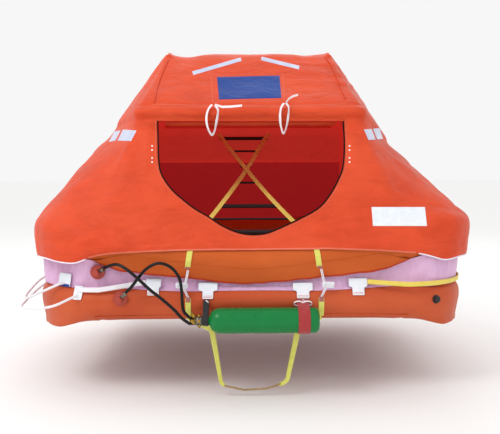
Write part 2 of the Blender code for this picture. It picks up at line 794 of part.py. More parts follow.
def patch_face(station, height):
    # How far out the face of a station's patch is at a height.
    for other, low, high, lean in [row[1:4] + row[5:] for row in LINE_PATCHES]:
        if other == station:
            start, slope = patch_back([outlines(station, 0.0)], low, high, lean)
            return start + slope * (height - low) + WEBBING


# The boarding ladder: a fixed strap down each side of the front, and the hanging step.
STRAP_WIDTH = 0.025
STRAP_LIFT = GAP + WEBBING / 2
LADDER_HALF = 0.288


def build_ladder():
    for side, shift in ((-1, 0.0), (1, 0.022)):
        name = "ladder_strap_left" if side < 0 else "ladder_strap_right"
        slope = (tube_between(0.30, HALF_WIDTH)[1] - tube_between(0.28, HALF_WIDTH)[1]) / 0.02
        route = []
        normals = []
        for x, upper, degrees in ((0.276 + shift * 0.6, True, 45), (0.282 + shift * 0.6, True, 22.5),
                                  (0.292 + shift * 0.6, True, 0), (LADDER_HALF + shift, False, 0),
                                  (LADDER_HALF + shift, False, -22.5)):
            angle = math.radians(degrees)
            route.append(strap_point(side * x, upper, degrees))
            normals.append(Vector((-side * slope * math.sin(angle) * upper, -math.cos(angle), math.sin(angle))))
        for x, y, rise in ((LADDER_HALF, -0.0045, 0.014), (LADDER_HALF, -0.0010, 0.005), (LADDER_HALF, 0.0, 0.0006)):
            route.append(Vector((side * (x + shift), LADDER_PIN[0] + y, LADDER_PIN[1] + rise)))
            normals.append(Vector((0, -1, 0)))
        ribbon(name, route, None, STRAP_WIDTH, YELLOW_WEBBING, normals=normals)
    y = LADDER_PIN[0]
    top = LADDER_PIN[1] - 0.0002
    step = [(-LADDER_HALF, y, top), (-0.184, y, -0.040), (-0.143, y, LADDER_BOTTOM + 0.014), (-0.126, y, LADDER_BOTTOM)]
    step += [(-0.040, y, LADDER_BOTTOM - 0.020), (0.065, y, LADDER_BOTTOM - 0.014)]
    step += [(0.140, y, LADDER_BOTTOM + 0.010), (0.158, y, LADDER_BOTTOM + 0.026)]
    step += [(0.206, y, -0.044), (LADDER_HALF + 0.022, y, top)]
    route = round_corners(step, 0.018, steps=2)
    step_ribbon(route)


def strap_point(x, upper, degrees):
    # A point of the strap's middle, laid on a tube's front.
    height, rise = tube_between(x, -HALF_WIDTH, upper)[1:]
    angle = math.radians(degrees)
    lift = STRAP_LIFT + 0.0003
    y = -HALF_WIDTH - (TUBE_REACH + lift) * math.cos(angle)
    return Vector((x, y, height + (rise + lift) * math.sin(angle)))


def step_ribbon(route):
    # Webbing that bends in the plane of its width: the hanging step is one U, thin where it hinges.
    sections = []
    for index, point in enumerate(route):
        before = route[max(index - 1, 0)]
        after = route[min(index + 1, len(route) - 1)]
        along = (after - before).normalized()
        wide = along.cross(Vector((0, 1, 0))) * STRAP_WIDTH / 2
        share = min(1.0, max(0.0, (point.z - LADDER_BOTTOM) / 0.04))
        wide *= 0.45 + 0.55 * share
        thick = Vector((0, WEBBING / 2, 0))
        if index in (0, len(route) - 1):
            wide = Vector((wide.x, 0, 0)).normalized() * STRAP_WIDTH / 2
            thick *= 0.27
        sections.append([point - wide - thick, point + wide - thick, point + wide + thick, point - wide + thick])
    return loft("boarding_ladder", sections, YELLOW_WEBBING, LADDER_HINGE)


# The inner ladder: two straps crossed from the sill to the rear bar, with its rungs.
INNER_SILL = (0.245, -0.690, 0.3718)
INNER_HEAD = (0.150, 0.4264, 0.9214)
INNER_RUNGS = (
    # name, share of the way up, thickness
    ("inner_rung_1", 0.05, 0.010),
    ("inner_rung_2", 0.28, 0.010),
    ("inner_rung_3", 0.93, 0.010),
)


def inner_point(side, share):
    start = Vector((side * INNER_SILL[0], INNER_SILL[1], INNER_SILL[2]))
    stop = Vector((-side * INNER_HEAD[0], INNER_HEAD[1], INNER_HEAD[2]))
    sag = Vector((0, 0, -0.030 * math.sin(math.pi * share)))
    crossing = INNER_SILL[0] / (INNER_SILL[0] + INNER_HEAD[0])
    nearness = math.exp(-((share - crossing) / 0.14) ** 2)
    return start.lerp(stop, share) + sag + Vector((0, 0, side * 0.0045 * nearness))


def build_inner_ladder():
    for side, name in ((-1, "inner_strap_left"), (1, "inner_strap_right")):
        route = [inner_point(side, step / 8) for step in range(9)]
        ribbon(name, route, (1, 0, 0), 0.022, YELLOW_WEBBING)
    for name, share, thick in INNER_RUNGS:
        left = inner_point(-1, share)
        right = inner_point(1, share)
        slope = inner_point(1, share + 0.03) - inner_point(1, share - 0.03)
        slope.x = 0
        slope.normalize()
        drop = Vector((0, slope.z, -slope.y)) * (thick / 2 + WEBBING / 2 + 0.0007)
        edge = max(left.x, right.x) + 0.012
        ribbon(name, [Vector((x, left.y, left.z)) + drop for x in (-edge, edge)], slope, 0.026, BLACK_RUBBER,
               thickness=thick)


# The gas cylinder, its valve head, and the two slings it hangs by.
def build_cylinder():
    start = (CYLINDER_LEFT, CYLINDER_Y, CYLINDER_HEIGHT)
    length = CYLINDER_RIGHT - CYLINDER_LEFT
    neck = -0.034
    profile = [(neck, 0.0175), (-0.004, NECK_RADIUS), (0.003, 0.030), (0.014, 0.043), (0.030, 0.0515)]
    profile += [(0.050, CYLINDER_RADIUS), (length - 0.012, CYLINDER_RADIUS), (length - 0.003, 0.0535)]
    profile += [(length, 0.046)]
    turned("gas_cylinder", profile, start, (1, 0, 0), GREEN_PAINT, CYLINDER_HINGE, sides=28)
    head_start = (HEAD_LEFT, CYLINDER_Y, CYLINDER_HEIGHT)
    head_length = CYLINDER_LEFT + neck - GAP - HEAD_LEFT
    head = [(0.0, 0.017), (0.004, 0.0225), (head_length - 0.004, 0.0225), (head_length, 0.020)]
    turned("valve_head", head, head_start, (1, 0, 0), VALVE_BRASS, CYLINDER_HINGE, sides=16)


def sling(name, low_x, high_x, radius, material, thickness):
    # A strap looped round the cylinder. Its rear run drops straight down the tube's front.
    middle = 0.5 * (low_x + high_x)
    centre = Vector((0, CYLINDER_Y, CYLINDER_HEIGHT))
    pin = Vector((0, *SLING_PIN))
    reach = (pin - centre).length
    heading = math.atan2(pin.z - centre.z, pin.y - centre.y)
    ring_radius = radius + GAP + thickness / 2 + 0.0006
    half = math.acos(ring_radius / reach)
    steps = 14
    route = [Vector((middle, pin.y + 0.002, pin.z)), Vector((middle, pin.y - 0.002, pin.z))]
    for step in range(steps + 1):
        angle = heading + half + (2 * math.pi - 2 * half) * step / steps
        offset = Vector((0, math.cos(angle), math.sin(angle))) * ring_radius
        route.append(Vector((middle, centre.y, centre.z)) + offset)
    ribbon(name, route, (1, 0, 0), high_x - low_x, material, CYLINDER_HINGE, ring=True, thickness=thickness)


def build_slings():
    sling("neck_sling", -0.2215, -0.1935, NECK_RADIUS + 0.0008, BLACK_RUBBER, WEBBING)
    sling("base_sling", 0.196, 0.252, CYLINDER_RADIUS + 0.0006, RED_WEBBING, WEBBING)


# Inlets on the front, and the two hoses that feed them.
INLETS = (
    # name, centre x, centre height, back of the disc
    ("inlet_upper", -0.697, 0.222, -0.7605),
    ("inlet_lower", -0.590, 0.107, -0.8004),
)

# Each hose leaves the valve head level, at one of two heights.
HOSE_UPPER = (
    (-0.280, -0.858, 0.006), (-0.312, -0.868, 0.033), (-0.345, -0.881, 0.074), (-0.392, -0.887, 0.118),
    (-0.444, -0.886, 0.160), (-0.499, -0.875, 0.208), (-0.550, -0.857, 0.247), (-0.600, -0.833, 0.266),
)

HOSE_LOWER = (
    (-0.276, -0.847, 0.027), (-0.304, -0.855, 0.061), (-0.309, -0.864, 0.107), (-0.311, -0.868, 0.155),
    (-0.321, -0.868, 0.211), (-0.357, -0.863, 0.256), (-0.410, -0.858, 0.274), (-0.462, -0.853, 0.251),
    (-0.502, -0.848, 0.208), (-0.535, -0.842, 0.165),
)

INLET_BOSS = 0.015
HOSE_ENDS = (
    # name, route, its inlet, angle that it leaves the boss at, y there
    ("inflation_hose_upper", HOSE_UPPER, 0, 35, -0.796),
    ("inflation_hose_lower", HOSE_LOWER, 1, 50, -0.838),
)


def build_inflation():
    for name, x, height, back in INLETS:
        profile = [(0.0, 0.034), (0.004, 0.033), (0.006, INLET_BOSS), (0.048, INLET_BOSS), (0.052, 0.012)]
        turned(name, profile, (x, back, height), (0, -1, 0), RED_PLASTIC, sides=20)
    for name, middle, inlet, degrees, y in HOSE_ENDS:
        x, height = INLETS[inlet][1:3]
        turn = math.radians(degrees)
        last = []
        for reach in (0.042, INLET_BOSS + 0.0006):
            last.append(Vector((x + reach * math.cos(turn), y, height + reach * math.sin(turn))))
        first = Vector((HEAD_LEFT - GAP, middle[0][1], middle[0][2]))
        route = [first, *smooth_route([*middle, last[0]], HOSE_STEP), last[1]]
        pipe(name, route, HOSE_RADIUS, BLACK_RUBBER, 2)


# The black relief valve stands off the front right corner of the lower tube.
def build_relief_valve():
    # It sits on the flat of a chord, half way between two stations.
    turn = math.radians(27)
    corner = Vector((HALF_LENGTH - CORNER_RADIUS, -HALF_WIDTH + CORNER_RADIUS, 0))
    outward = Vector((math.sin(turn), -math.cos(turn), 0))
    tilt = math.pi / TUBE_SIDES
    shares = []
    for degrees in (18, 36):
        angle = math.radians(degrees)
        x = CORNER_RADIUS * math.sin(angle) + corner.x
        y = CORNER_RADIUS * math.cos(angle) - corner.y
        shares.append(tube_section(x, y, False))
    height, rise = (0.5 * (first + other) for first, other in zip(*shares))
    reach = (CORNER_RADIUS + TUBE_REACH * math.cos(tilt) ** 2) * math.cos(math.radians(9))
    start = corner + outward * (reach + GAP)
    start.z = height + rise * math.sin(tilt) * math.cos(tilt)
    normal = outward * math.cos(tilt) + Vector((0, 0, math.sin(tilt)))
    start -= (Vector((0, 0, 1)) - normal * normal.z).normalized() * 0.0025
    profile = [(0.0, 0.0195), (0.006, 0.0195), (0.008, 0.016), (0.016, 0.0145)]
    turned("relief_valve", profile, start, normal, BLACK_RUBBER, sides=20)


# Lifelines: taut yellow webbing on the right and rear, slack white webbing on the left.
LINE_WIDTH = 0.022


def station_route(first, last, reach, height):
    route = []
    for station in range(first, last + 1):
        place, outward = ring_station(station)
        route.append(place + outward * reach + Vector((0, 0, height)))
    return route


LEFT_LINES = (
    # name, patches at its two ends and its heights there, then the points between them
    ("lifeline_left_upper", 35, 0.165, 31, 0.150,
     ((-1.000, -0.715, 0.110), (-1.075, -0.600, 0.075), (-1.110, -0.450, 0.075), (-1.090, -0.330, 0.115))),
    ("lifeline_left_lower", 36, 0.118, 31, 0.120,
     ((-0.880, -0.850, 0.085), (-1.000, -0.775, 0.058), (-1.090, -0.620, 0.036), (-1.125, -0.440, 0.032),
      (-1.100, -0.310, 0.070))),
)
CORD_RADIUS = 0.006


def off_patch(station, reach, height):
    # A point off a patch's face, clear of it for a round cord's whole end.
    place, outward = ring_station(station)
    return place + outward * (patch_face(station, height - CORD_RADIUS) + reach) + Vector((0, 0, height))


def tee_edge(index, side, height):
    # The middle of the edge of a tee patch's bar, for a line that ends there.
    name, middle, top, bottom, half_bar, half_stem = TEE_PATCHES[index]
    start, slope = patch_back(tee_places(middle, half_bar), bottom, top, True)
    y = -HALF_WIDTH - start - slope * (height - bottom) - WEBBING / 2
    return Vector((middle + side * (half_bar + 0.0016), y, height)), Vector((0, -slope, 1))


def build_lifelines():
    for row in LINE_PATCHES:
        line_patch(*row)
    reach = patch_face(9, 0.1) + GAP + WEBBING / 2
    upright = Vector((0, 0, 1))
    end, lean = tee_edge(3, 1, 0.171)
    right = [end, end + Vector((0.012, 0, 0)), Vector((0.60, -HALF_WIDTH - reach + 0.016, 0.169))]
    right += station_route(3, 11, reach, 0.165)
    flats = [lean] * 2 + [upright] * (len(right) - 2)
    ribbon("lifeline_right", right, flats, LINE_WIDTH, YELLOW_WEBBING)
    ribbon("lifeline_rear", station_route(11, 29, reach, 0.135), upright, LINE_WIDTH, YELLOW_WEBBING)
    height = 0.145
    reach = patch_face(36, height - LINE_WIDTH / 2) + GAP + WEBBING / 2
    place, outward = ring_station(36)
    last = place + outward * reach + Vector((0, 0, height))
    near = last + Vector((-outward.y, outward.x, 0)) * 0.030
    end, lean = tee_edge(0, -1, 0.173)
    front = [end, end - Vector((0.012, 0, 0)), Vector((-0.60, -HALF_WIDTH - reach, 0.158))]
    front += [*station_route(37, 37, reach, height), near, last]
    flats = [lean] * 2 + [upright] * (len(front) - 2)
    ribbon("lifeline_front_left", front, flats, LINE_WIDTH, WHITE_WEBBING)
    for name, first, first_height, last, last_height, middle in LEFT_LINES:
        ends = [off_patch(station, GAP, height) for station, height in ((first, first_height), (last, last_height))]
        points = [off_patch(first, 0.025, first_height), *middle, off_patch(last, 0.025, last_height)]
        pipe(name, [ends[0], *smooth_route(points, 0.03), ends[1]], CORD_RADIUS, WHITE_WEBBING, 2)


# Underneath: water pockets at the corners, and the strap for turning the raft over.
def build_underside():
    for name, x, y in (("water_pocket_front_left", -0.56, -0.38), ("water_pocket_front_right", 0.56, -0.38),
                       ("water_pocket_rear_left", -0.56, 0.38), ("water_pocket_rear_right", 0.56, 0.38)):
        top = FLOOR_LOW - GAP
        sections = []
        for depth, half in ((0.0, 0.11), (0.020, 0.10), (0.045, 0.075)):
            section = []
            for side_x, side_y in ((-1, -1), (1, -1), (1, 1), (-1, 1)):
                section.append((x + side_x * half, y + side_y * half, top - depth))
            sections.append(section)
        loft(name, sections, BLACK_RUBBER)
    strap = [(0, y, FLOOR_LOW - GAP - WEBBING / 2) for y in (-0.60, 0.60)]
    ribbon("righting_strap", strap, (1, 0, 0), 0.045, WHITE_WEBBING)


def build_inside():
    top = BAR_HEIGHT - BAR_FLAT - GAP
    box("equipment_pouch", (-0.085, 0.430, top - 0.044), (0.070, 0.460, top), PALE_PLASTIC)


def build_raft():
    build_tube("lower_tube", False)
    build_tube("upper_tube", True)
    build_band()
    build_floor()
    build_canopy()
    build_centre_arch()
    build_end_arch("arch_front", -1)
    build_end_arch("arch_rear", 1)
    build_door_fittings()
    build_patches()
    build_ladder()
    build_inner_ladder()
    build_cylinder()
    build_slings()
    build_inflation()
    build_relief_valve()
    build_lifelines()
    build_underside()
    build_inside()


build_raft()
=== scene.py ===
import math

import bmesh
import bpy
import numpy as np
from mathutils import Euler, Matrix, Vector, noise
from mathutils.bvhtree import BVHTree


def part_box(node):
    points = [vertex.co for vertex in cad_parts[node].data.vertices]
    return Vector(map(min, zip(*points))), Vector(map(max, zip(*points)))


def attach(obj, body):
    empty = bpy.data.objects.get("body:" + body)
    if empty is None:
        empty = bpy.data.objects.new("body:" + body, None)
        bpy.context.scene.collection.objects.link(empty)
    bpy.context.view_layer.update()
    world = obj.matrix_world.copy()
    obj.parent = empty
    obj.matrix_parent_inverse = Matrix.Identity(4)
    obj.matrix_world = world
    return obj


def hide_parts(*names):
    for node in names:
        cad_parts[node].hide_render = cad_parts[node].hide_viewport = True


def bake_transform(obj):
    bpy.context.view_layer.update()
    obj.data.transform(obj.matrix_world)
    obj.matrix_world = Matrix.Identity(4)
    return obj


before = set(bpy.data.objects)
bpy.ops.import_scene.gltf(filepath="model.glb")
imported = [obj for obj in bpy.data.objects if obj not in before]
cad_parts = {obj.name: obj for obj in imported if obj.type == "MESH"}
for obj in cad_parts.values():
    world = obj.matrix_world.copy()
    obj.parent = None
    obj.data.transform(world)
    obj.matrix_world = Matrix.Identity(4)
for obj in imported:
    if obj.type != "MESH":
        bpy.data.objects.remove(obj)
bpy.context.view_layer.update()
print("frame loaded,", len(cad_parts), "nodes")

draft = 0.05  # heights below are above the lower tube's underside, and the raft floats 50 mm deep
below = np.array([0, 0, draft])


def linear(hexColour):
    # colours are written as sRGB hex and turned to the linear values that the shaders use
    parts = [int(hexColour[i:i + 2], 16) / 255 for i in (1, 3, 5)]
    return (*[p / 12.92 if p <= 0.04045 else ((p + 0.055) / 1.055) ** 2.4 for p in parts], 1.0)


def addNode(tree, kind, settings=None, links=None):
    # one node with its settings, by attribute or by input, and the sockets that feed it
    node = tree.nodes.new("ShaderNode" + kind)
    for key, value in (settings or {}).items():
        if isinstance(key, str) and hasattr(node, key):
            setattr(node, key, value)
        else:
            node.inputs[key].default_value = value
    for key, (source, output) in (links or {}).items():
        tree.links.new(source.outputs[output], node.inputs[key])
    return node


def newMaterial(name, hexColour, roughness, **sockets):
    # the numbers that are the same all over go on the shader's own sockets
    material = bpy.data.materials.new(name)
    material.use_nodes = True
    tree = material.node_tree
    shader = tree.nodes["Principled BSDF"]
    shader.inputs["Base Color"].default_value = linear(hexColour)
    shader.inputs["Roughness"].default_value = roughness
    for socket, value in sockets.items():
        shader.inputs[socket.replace("_", " ")].default_value = value
    return material, tree, shader


def finishSurface(tree, shader, colour, rough, bumps):
    # bumps are (height socket, strength, depth in metres), from the coarsest to the finest
    tree.links.new(colour.outputs[2], shader.inputs["Base Color"])
    if rough:
        tree.links.new(rough.outputs["Result"], shader.inputs["Roughness"])
    last = None
    for height, strength, depth in bumps:
        links = {"Height": height, **({"Normal": (last, "Normal")} if last else {})}
        last = addNode(tree, "Bump", {"Strength": strength, "Distance": depth}, links)
    tree.links.new(last.outputs["Normal"], shader.inputs["Normal"])


waveScale = 0.314  # a wave texture's scale is this over the spacing in metres


def coatedCloth(name, colours, rough, crumple=0.35, creaseScale=(9, 9, 22), glow=0.0):
    # A woven nylon or polyester with a flexible coating: an even satin skin over a fine square weave, with soft
    # crumples whose hollows are darkened by painted shade, and paler in broad random patches. The real thread is 0.3
    # mm and would not show, so the weave is drawn at 3 mm and kept faint. Colours: plain, painted shade in the folds,
    # and faded.
    plain, foldShade, faded = (linear(colour) for colour in colours)
    # glow gives the cloth an emission in its plain colour: painted light
    material, tree, shader = newMaterial(
        name, colours[0], rough, Sheen_Weight=0.02, Sheen_Roughness=0.5, IOR=1.47, Specular_IOR_Level=0.12,
        Emission_Strength=glow, Emission_Color=plain)
    spot = addNode(tree, "TexCoord")
    threads = [addNode(tree, "TexWave", {"bands_direction": way, "Scale": waveScale / 0.003, "Distortion": 0.6,
                                         "Detail": 1.0}, {"Vector": (spot, "UV")}) for way in "XY"]
    cross = addNode(tree, "Math", {"operation": "MULTIPLY"}, {0: (threads[0], "Fac"), 1: (threads[1], "Fac")})
    stretched = addNode(tree, "Mapping", {"Scale": creaseScale}, {"Vector": (spot, "Object")})
    creased = addNode(tree, "TexNoise", {"Scale": 1.0, "Detail": 5.0, "Roughness": 0.62, "Distortion": 0.7},
                      {"Vector": (stretched, "Vector")})
    ridges = addNode(tree, "ValToRGB", None, {"Fac": (creased, "Fac")})
    ridges.color_ramp.elements[0].position = 0.36
    ridges.color_ramp.elements[1].position = 0.66
    broad = addNode(tree, "TexNoise", {"Scale": 3.2, "Detail": 3.0}, {"Vector": (spot, "Object")})
    # the fold colour darkens the crumples' hollows, where the bump is low: painted shade
    shade = addNode(tree, "Mix", {"data_type": "RGBA", 6: foldShade, 7: plain}, {0: (ridges, "Color")})
    worn = addNode(tree, "Mix", {"data_type": "RGBA", 7: faded}, {0: (broad, "Fac"), 6: (shade, 2)})
    tone = addNode(tree, "MapRange", {"From Min": 0.35, "From Max": 0.75, "To Min": rough - 0.08,
                                      "To Max": rough + 0.10}, {"Value": (creased, "Fac")})
    finishSurface(tree, shader, worn, tone, [((ridges, "Color"), crumple, 0.004), ((cross, "Value"), 0.18, 0.0006)])
    return material


def wovenWebbing(name, colours, edge=0.0125):
    # Polyester webbing from a narrow loom: cross ribs between two firm edges, fuzzy and dull. The ribs
    # are 1 mm apart on the real tape, drawn at 3 mm. Its u runs along the tape and its v across it.
    plain, foldShade, faded = (linear(colour) for colour in colours)
    material, tree, shader = newMaterial(name, colours[0], 0.78, Sheen_Weight=0.3, Sheen_Roughness=0.4, IOR=1.5)
    spot = addNode(tree, "TexCoord")
    ribs = addNode(tree, "TexWave", {"bands_direction": "X", "Scale": waveScale / 0.003, "Distortion": 1.2,
                                     "Detail": 1.5, "Detail Scale": 3.0}, {"Vector": (spot, "UV")})
    edges = addNode(tree, "TexWave", {"bands_direction": "Y", "Scale": waveScale / edge}, {"Vector": (spot, "UV")})
    wear = addNode(tree, "TexNoise", {"Scale": 40.0, "Detail": 4.0}, {"Vector": (spot, "Object")})
    # the fold colour darkens the ribs' hollows, where the bump is low: painted shade
    dark = addNode(tree, "Mix", {"data_type": "RGBA", 6: foldShade, 7: plain}, {0: (ribs, "Fac")})
    worn = addNode(tree, "Mix", {"data_type": "RGBA", 7: faded}, {0: (wear, "Fac"), 6: (dark, 2)})
    finishSurface(tree, shader, worn, None, [((edges, "Fac"), 0.25, 0.001), ((ribs, "Fac"), 0.45, 0.0008)])
    return material


def mouldedMaterial(name, colours, rough, grainMm, bump=0.1, shine=0.5, coat=0.0, metal=0.0, patch=14.0):
    # Moulded or turned hard stuff: nearly even, with faint mottling and the fine grain its making leaves.
    plain, dark = (linear(colour) for colour in colours)
    gloss = {} if metal else {"IOR": 1.5, "Specular_IOR_Level": shine}
    material, tree, shader = newMaterial(name, colours[0], rough, Metallic=metal, Coat_Weight=coat,
                                         Coat_Roughness=0.08, **gloss)
    spot = addNode(tree, "TexCoord")
    grain = addNode(tree, "TexNoise", {"Scale": 1000 / grainMm, "Detail": 3.0}, {"Vector": (spot, "Object")})
    mottle = addNode(tree, "TexNoise", {"Scale": patch, "Detail": 5.0, "Roughness": 0.6},
                     {"Vector": (spot, "Object")})
    colour = addNode(tree, "Mix", {"data_type": "RGBA", 6: dark, 7: plain}, {0: (mottle, "Fac")})
    tone = addNode(tree, "MapRange", {"To Min": rough * 0.7, "To Max": rough * 1.4}, {"Value": (mottle, "Fac")})
    finishSurface(tree, shader, colour, tone, [((grain, "Fac"), bump, 0.0005)])
    return material


def reflectiveTape(name):
    # Glass-bead tape under a clear film: silvery lilac, with a fine honeycomb of welded cells 4 mm wide.
    material, tree, shader = newMaterial(name, "#CDD3EC", 0.30, Metallic=0.25, Coat_Weight=0.4, Coat_Roughness=0.1)
    spot = addNode(tree, "TexCoord")
    cells = addNode(tree, "TexVoronoi", {"feature": "DISTANCE_TO_EDGE", "Scale": 1000 / 4.0, "Randomness": 0.25},
                    {"Vector": (spot, "UV")})
    streak = addNode(tree, "TexNoise", {"Scale": 16.0, "Detail": 4.0}, {"Vector": (spot, "Object")})
    wall = addNode(tree, "MapRange", {"From Max": 0.08}, {"Value": (cells, "Distance")})
    base = addNode(tree, "Mix", {"data_type": "RGBA", 6: linear("#A9B4DC"), 7: linear("#E6EAF8")},
                   {0: (streak, "Fac")})
    colour = addNode(tree, "Mix", {"data_type": "RGBA", 6: linear("#B8BEDA")}, {0: (wall, "Result"), 7: (base, 2)})
    finishSurface(tree, shader, colour, None, [((wall, "Result"), 0.3, 0.0004)])
    return material


# Canopy: bright orange nylon, coated inside, creased all over from its valise.
canopyNylon = coatedCloth("orangeCoatedNylon", ("#D84625", "#BC3417", "#E25835"), 0.46, 1.0, (6, 6, 15))
# The inner layers are thin red sheets; their glow is painted light, an emission standing in for the light that comes
# through the door, and the tier's darker colour is painted shade.
liningNylon = coatedCloth("redLiningNylon", ("#CA352C", "#B62A23", "#D44336"), 0.55, 0.25, glow=0.42)
shadeTierNylon = coatedCloth("paintedShadeTierNylon", ("#A82022", "#961A1B", "#B02626"), 0.55, 0.2, glow=0.48)
# Tubes: rubber-coated polyester, blown tight, so smooth and satin with barely a crease.
upperRubber = coatedCloth("brownOrangeTubeRubber", ("#C4561E", "#B04714", "#CE6530"), 0.42, 0.10, (3, 3, 14))
lowerRubber = coatedCloth("redOrangeTubeRubber", ("#C2502B", "#AE3F1D", "#CC603C"), 0.40, 0.10, (3, 3, 14))
# The arches inside are coloured like the lining and glow with painted light.
archRubber = coatedCloth("redArchRubber", ("#B8281F", "#A01E1A", "#C43628"), 0.46, 0.12, glow=0.30)
# The band is a pale lilac sheet glued over the joint, loose enough to pucker; the flap over it is dark red.
bandCloth = coatedCloth("lilacJointSheet", ("#DDAAD2", "#C08BB6", "#EAC6E4"), 0.40, 0.55, (26, 26, 9))
flapCloth = coatedCloth("darkRedFlapSheet", ("#B03418", "#A02610", "#B84020"), 0.45, 0.3, (10, 10, 8))
# Dull coated sheets out of the sun: the floor, the water pockets and the bag.
floorCloth = coatedCloth("darkRedFloorSheet", ("#7A1F19", "#641713", "#8A2A20"), 0.6, 0.3)
pocketCloth = coatedCloth("blackPocketCloth", ("#242426", "#19191B", "#323236"), 0.55)
pouchCloth = coatedCloth("paleRosePouchVinyl", ("#D08A92", "#BE7680", "#DDA2A8"), 0.4)
# Patches: white or blue PVC-coated cloth, welded on; nearly flat, with rounded edges.
patchVinyl = coatedCloth("whitePatchVinyl", ("#E6EBF2", "#D2DAE6", "#F2F4F8"), 0.42, 0.2, (40, 40, 40))
blueVinyl = coatedCloth("bluePlateVinyl", ("#1B3A86", "#132B69", "#2A4FA0"), 0.40, 0.35, (18, 18, 30))
# Hems: a faded orange tape folded over the edge, and a white piping round the corners.
hemTape = coatedCloth("paleHemTape", ("#DC684E", "#CC563C", "#E47C64"), 0.5)
cornerTape = coatedCloth("whiteHemPiping", ("#EFE6F2", "#DCD0E2", "#F6F0F8"), 0.45)
# Webbing: yellow where hands look for it, and white, red or black where it only ties.
yellowWebbing = wovenWebbing("yellowPolyesterWebbing", ("#EDD148", "#CDB032", "#F4E070"))
paleYellowWebbing = wovenWebbing("sunYellowWebbing", ("#E0DC5C", "#BFBB40", "#ECE97E"))
whiteWebbing = wovenWebbing("whiteCottonTape", ("#F2EEF2", "#D6D0DA", "#FBF9FB"))
redWebbing = wovenWebbing("darkRedWebbing", ("#A3262A", "#7E1A1E", "#B93A3A"))
blackWebbing = wovenWebbing("blackNylonWebbing", ("#17171A", "#0C0C0E", "#2A2A2E"))
redStitching = wovenWebbing("redBoxStitching", ("#A8504A", "#8A3A34", "#C08078"))
goldCord = wovenWebbing("brownBraidedCord", ("#A58348", "#7C6032", "#BFA068"), 0.004)
# Hose and valve: extruded and moulded black rubber, dull with a soft shine along the top.
hoseRubber = mouldedMaterial("extrudedBlackRubber", ("#0B0B0D", "#060607"), 0.30, 1.5, 0.2, 0.25)
valveRubber = mouldedMaterial("mouldedBlackRubber", ("#18181A", "#0E0E10"), 0.45, 2.0, 0.25)
# Cylinder: steel with a thick green enamel, glossy and a little uneven like orange peel.
greenEnamel = mouldedMaterial("greenGlossEnamel", ("#067F3C", "#047034"), 0.28, 6.0, 0.06, 0.22, coat=0.10)
# Valve head: turned brass with dull nickel plating, mottled darker at random, and bare turned brass ports.
nickelBrass = mouldedMaterial("nickelPlatedBrass", ("#8E867A", "#5E564A"), 0.34, 1.2, 0.15, metal=1.0, patch=60.0)
goldBrass = mouldedMaterial("turnedBrass", ("#C9A24C", "#8E6C2C"), 0.30, 1.0, metal=1.0, patch=70.0)
# Inlets: injection-moulded red plastic, satin.
redPlastic = mouldedMaterial("mouldedRedPlastic", ("#B4402E", "#9C3222"), 0.40, 2.5, 0.15)
# Door piping is soft black vinyl with hardly a shine, and the rungs are closed-cell foam, quite dull.
blackPiping = mouldedMaterial("blackVinylPiping", ("#120A0C", "#0A0607"), 0.5, 3.0, shine=0.1)
rungFoam = mouldedMaterial("blackFoamRung", ("#1C1A1C", "#121012"), 0.7, 2.0, 0.4)
silverTape = reflectiveTape("silverReflectiveTape")
print("materials made")


def placeObject(name, data, body, replaces):
    piece = bpy.data.objects.new(name, data)
    bpy.context.scene.collection.objects.link(piece)
    if body:
        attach(piece, body)
    if replaces:
        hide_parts(*replaces)
    return piece


def addPiece(name, points, faces, material, body="raft", uv=None, replaces=(), sharp=45):
    # a mesh whose points are already in the raft's frame
    mesh = bpy.data.meshes.new(name)
    mesh.from_pydata([tuple(point) for point in points], [], [tuple(face) for face in faces])
    layer = mesh.uv_layers.new(name="metres")
    corners = np.zeros(len(mesh.loops), np.int32)
    mesh.loops.foreach_get("vertex_index", corners)
    layer.data.foreach_set("uv", np.asarray(uv, np.float32)[corners].ravel())
    mesh.materials.append(material)
    mesh.shade_smooth()
    mesh.set_sharp_from_angle(angle=math.radians(sharp))
    return placeObject(name, mesh, body, replaces)


def meshWork(piece, work):
    # one edit of a piece's mesh
    shape = bmesh.new()
    shape.from_mesh(piece.data)
    work(shape)
    shape.to_mesh(piece.data)
    shape.free()
    return piece


def outwardFaces(piece):
    return meshWork(piece, lambda shape: bmesh.ops.recalc_face_normals(shape, faces=shape.faces))


def gridFaces(rows, columns, wrapRows=False, wrapColumns=False):
    faces = []
    for row in range(rows if wrapRows else rows - 1):
        here, over = row * columns, (row + 1) % rows * columns
        for column in range(columns if wrapColumns else columns - 1):
            beside = (column + 1) % columns
            faces.append((here + column, here + beside, over + beside, over + column))
    return faces


def gridMetres(grid):
    # texture coordinates in metres, along the columns and up the rows
    along = np.linalg.norm(np.diff(grid, axis=1), axis=2).mean(axis=0)
    up = np.linalg.norm(np.diff(grid, axis=0), axis=2).mean(axis=1)
    u, v = np.r_[0, np.cumsum(along)], np.r_[0, np.cumsum(up)]
    return np.stack(np.meshgrid(u, v), axis=2).reshape(-1, 2)


def gridNormals(grid, wrapColumns=True):
    if wrapColumns:
        around = np.roll(grid, -1, axis=1) - np.roll(grid, 1, axis=1)
    else:
        around = np.gradient(grid, axis=1)
    normals = np.cross(around, np.gradient(grid, axis=0))
    return normals / np.maximum(np.linalg.norm(normals, axis=2, keepdims=True), 1e-9)


def gridPiece(name, grid, material, wrapRows=False, wrapColumns=False, replaces=(), sharp=80):
    faces = gridFaces(len(grid), grid.shape[1], wrapRows, wrapColumns)
    return outwardFaces(addPiece(name, grid.reshape(-1, 3), faces, material, uv=gridMetres(grid),
                                 replaces=replaces, sharp=sharp))


def lift(points):
    # from heights above the lower tube's underside to heights above the water
    return [Vector((point[0], point[1], point[2] - draft)) for point in points]


def evenly(low, high, count, place):
    # places along a line, from a function of a number that goes from low to high
    return [place(t) for t in np.linspace(low, high, count)]


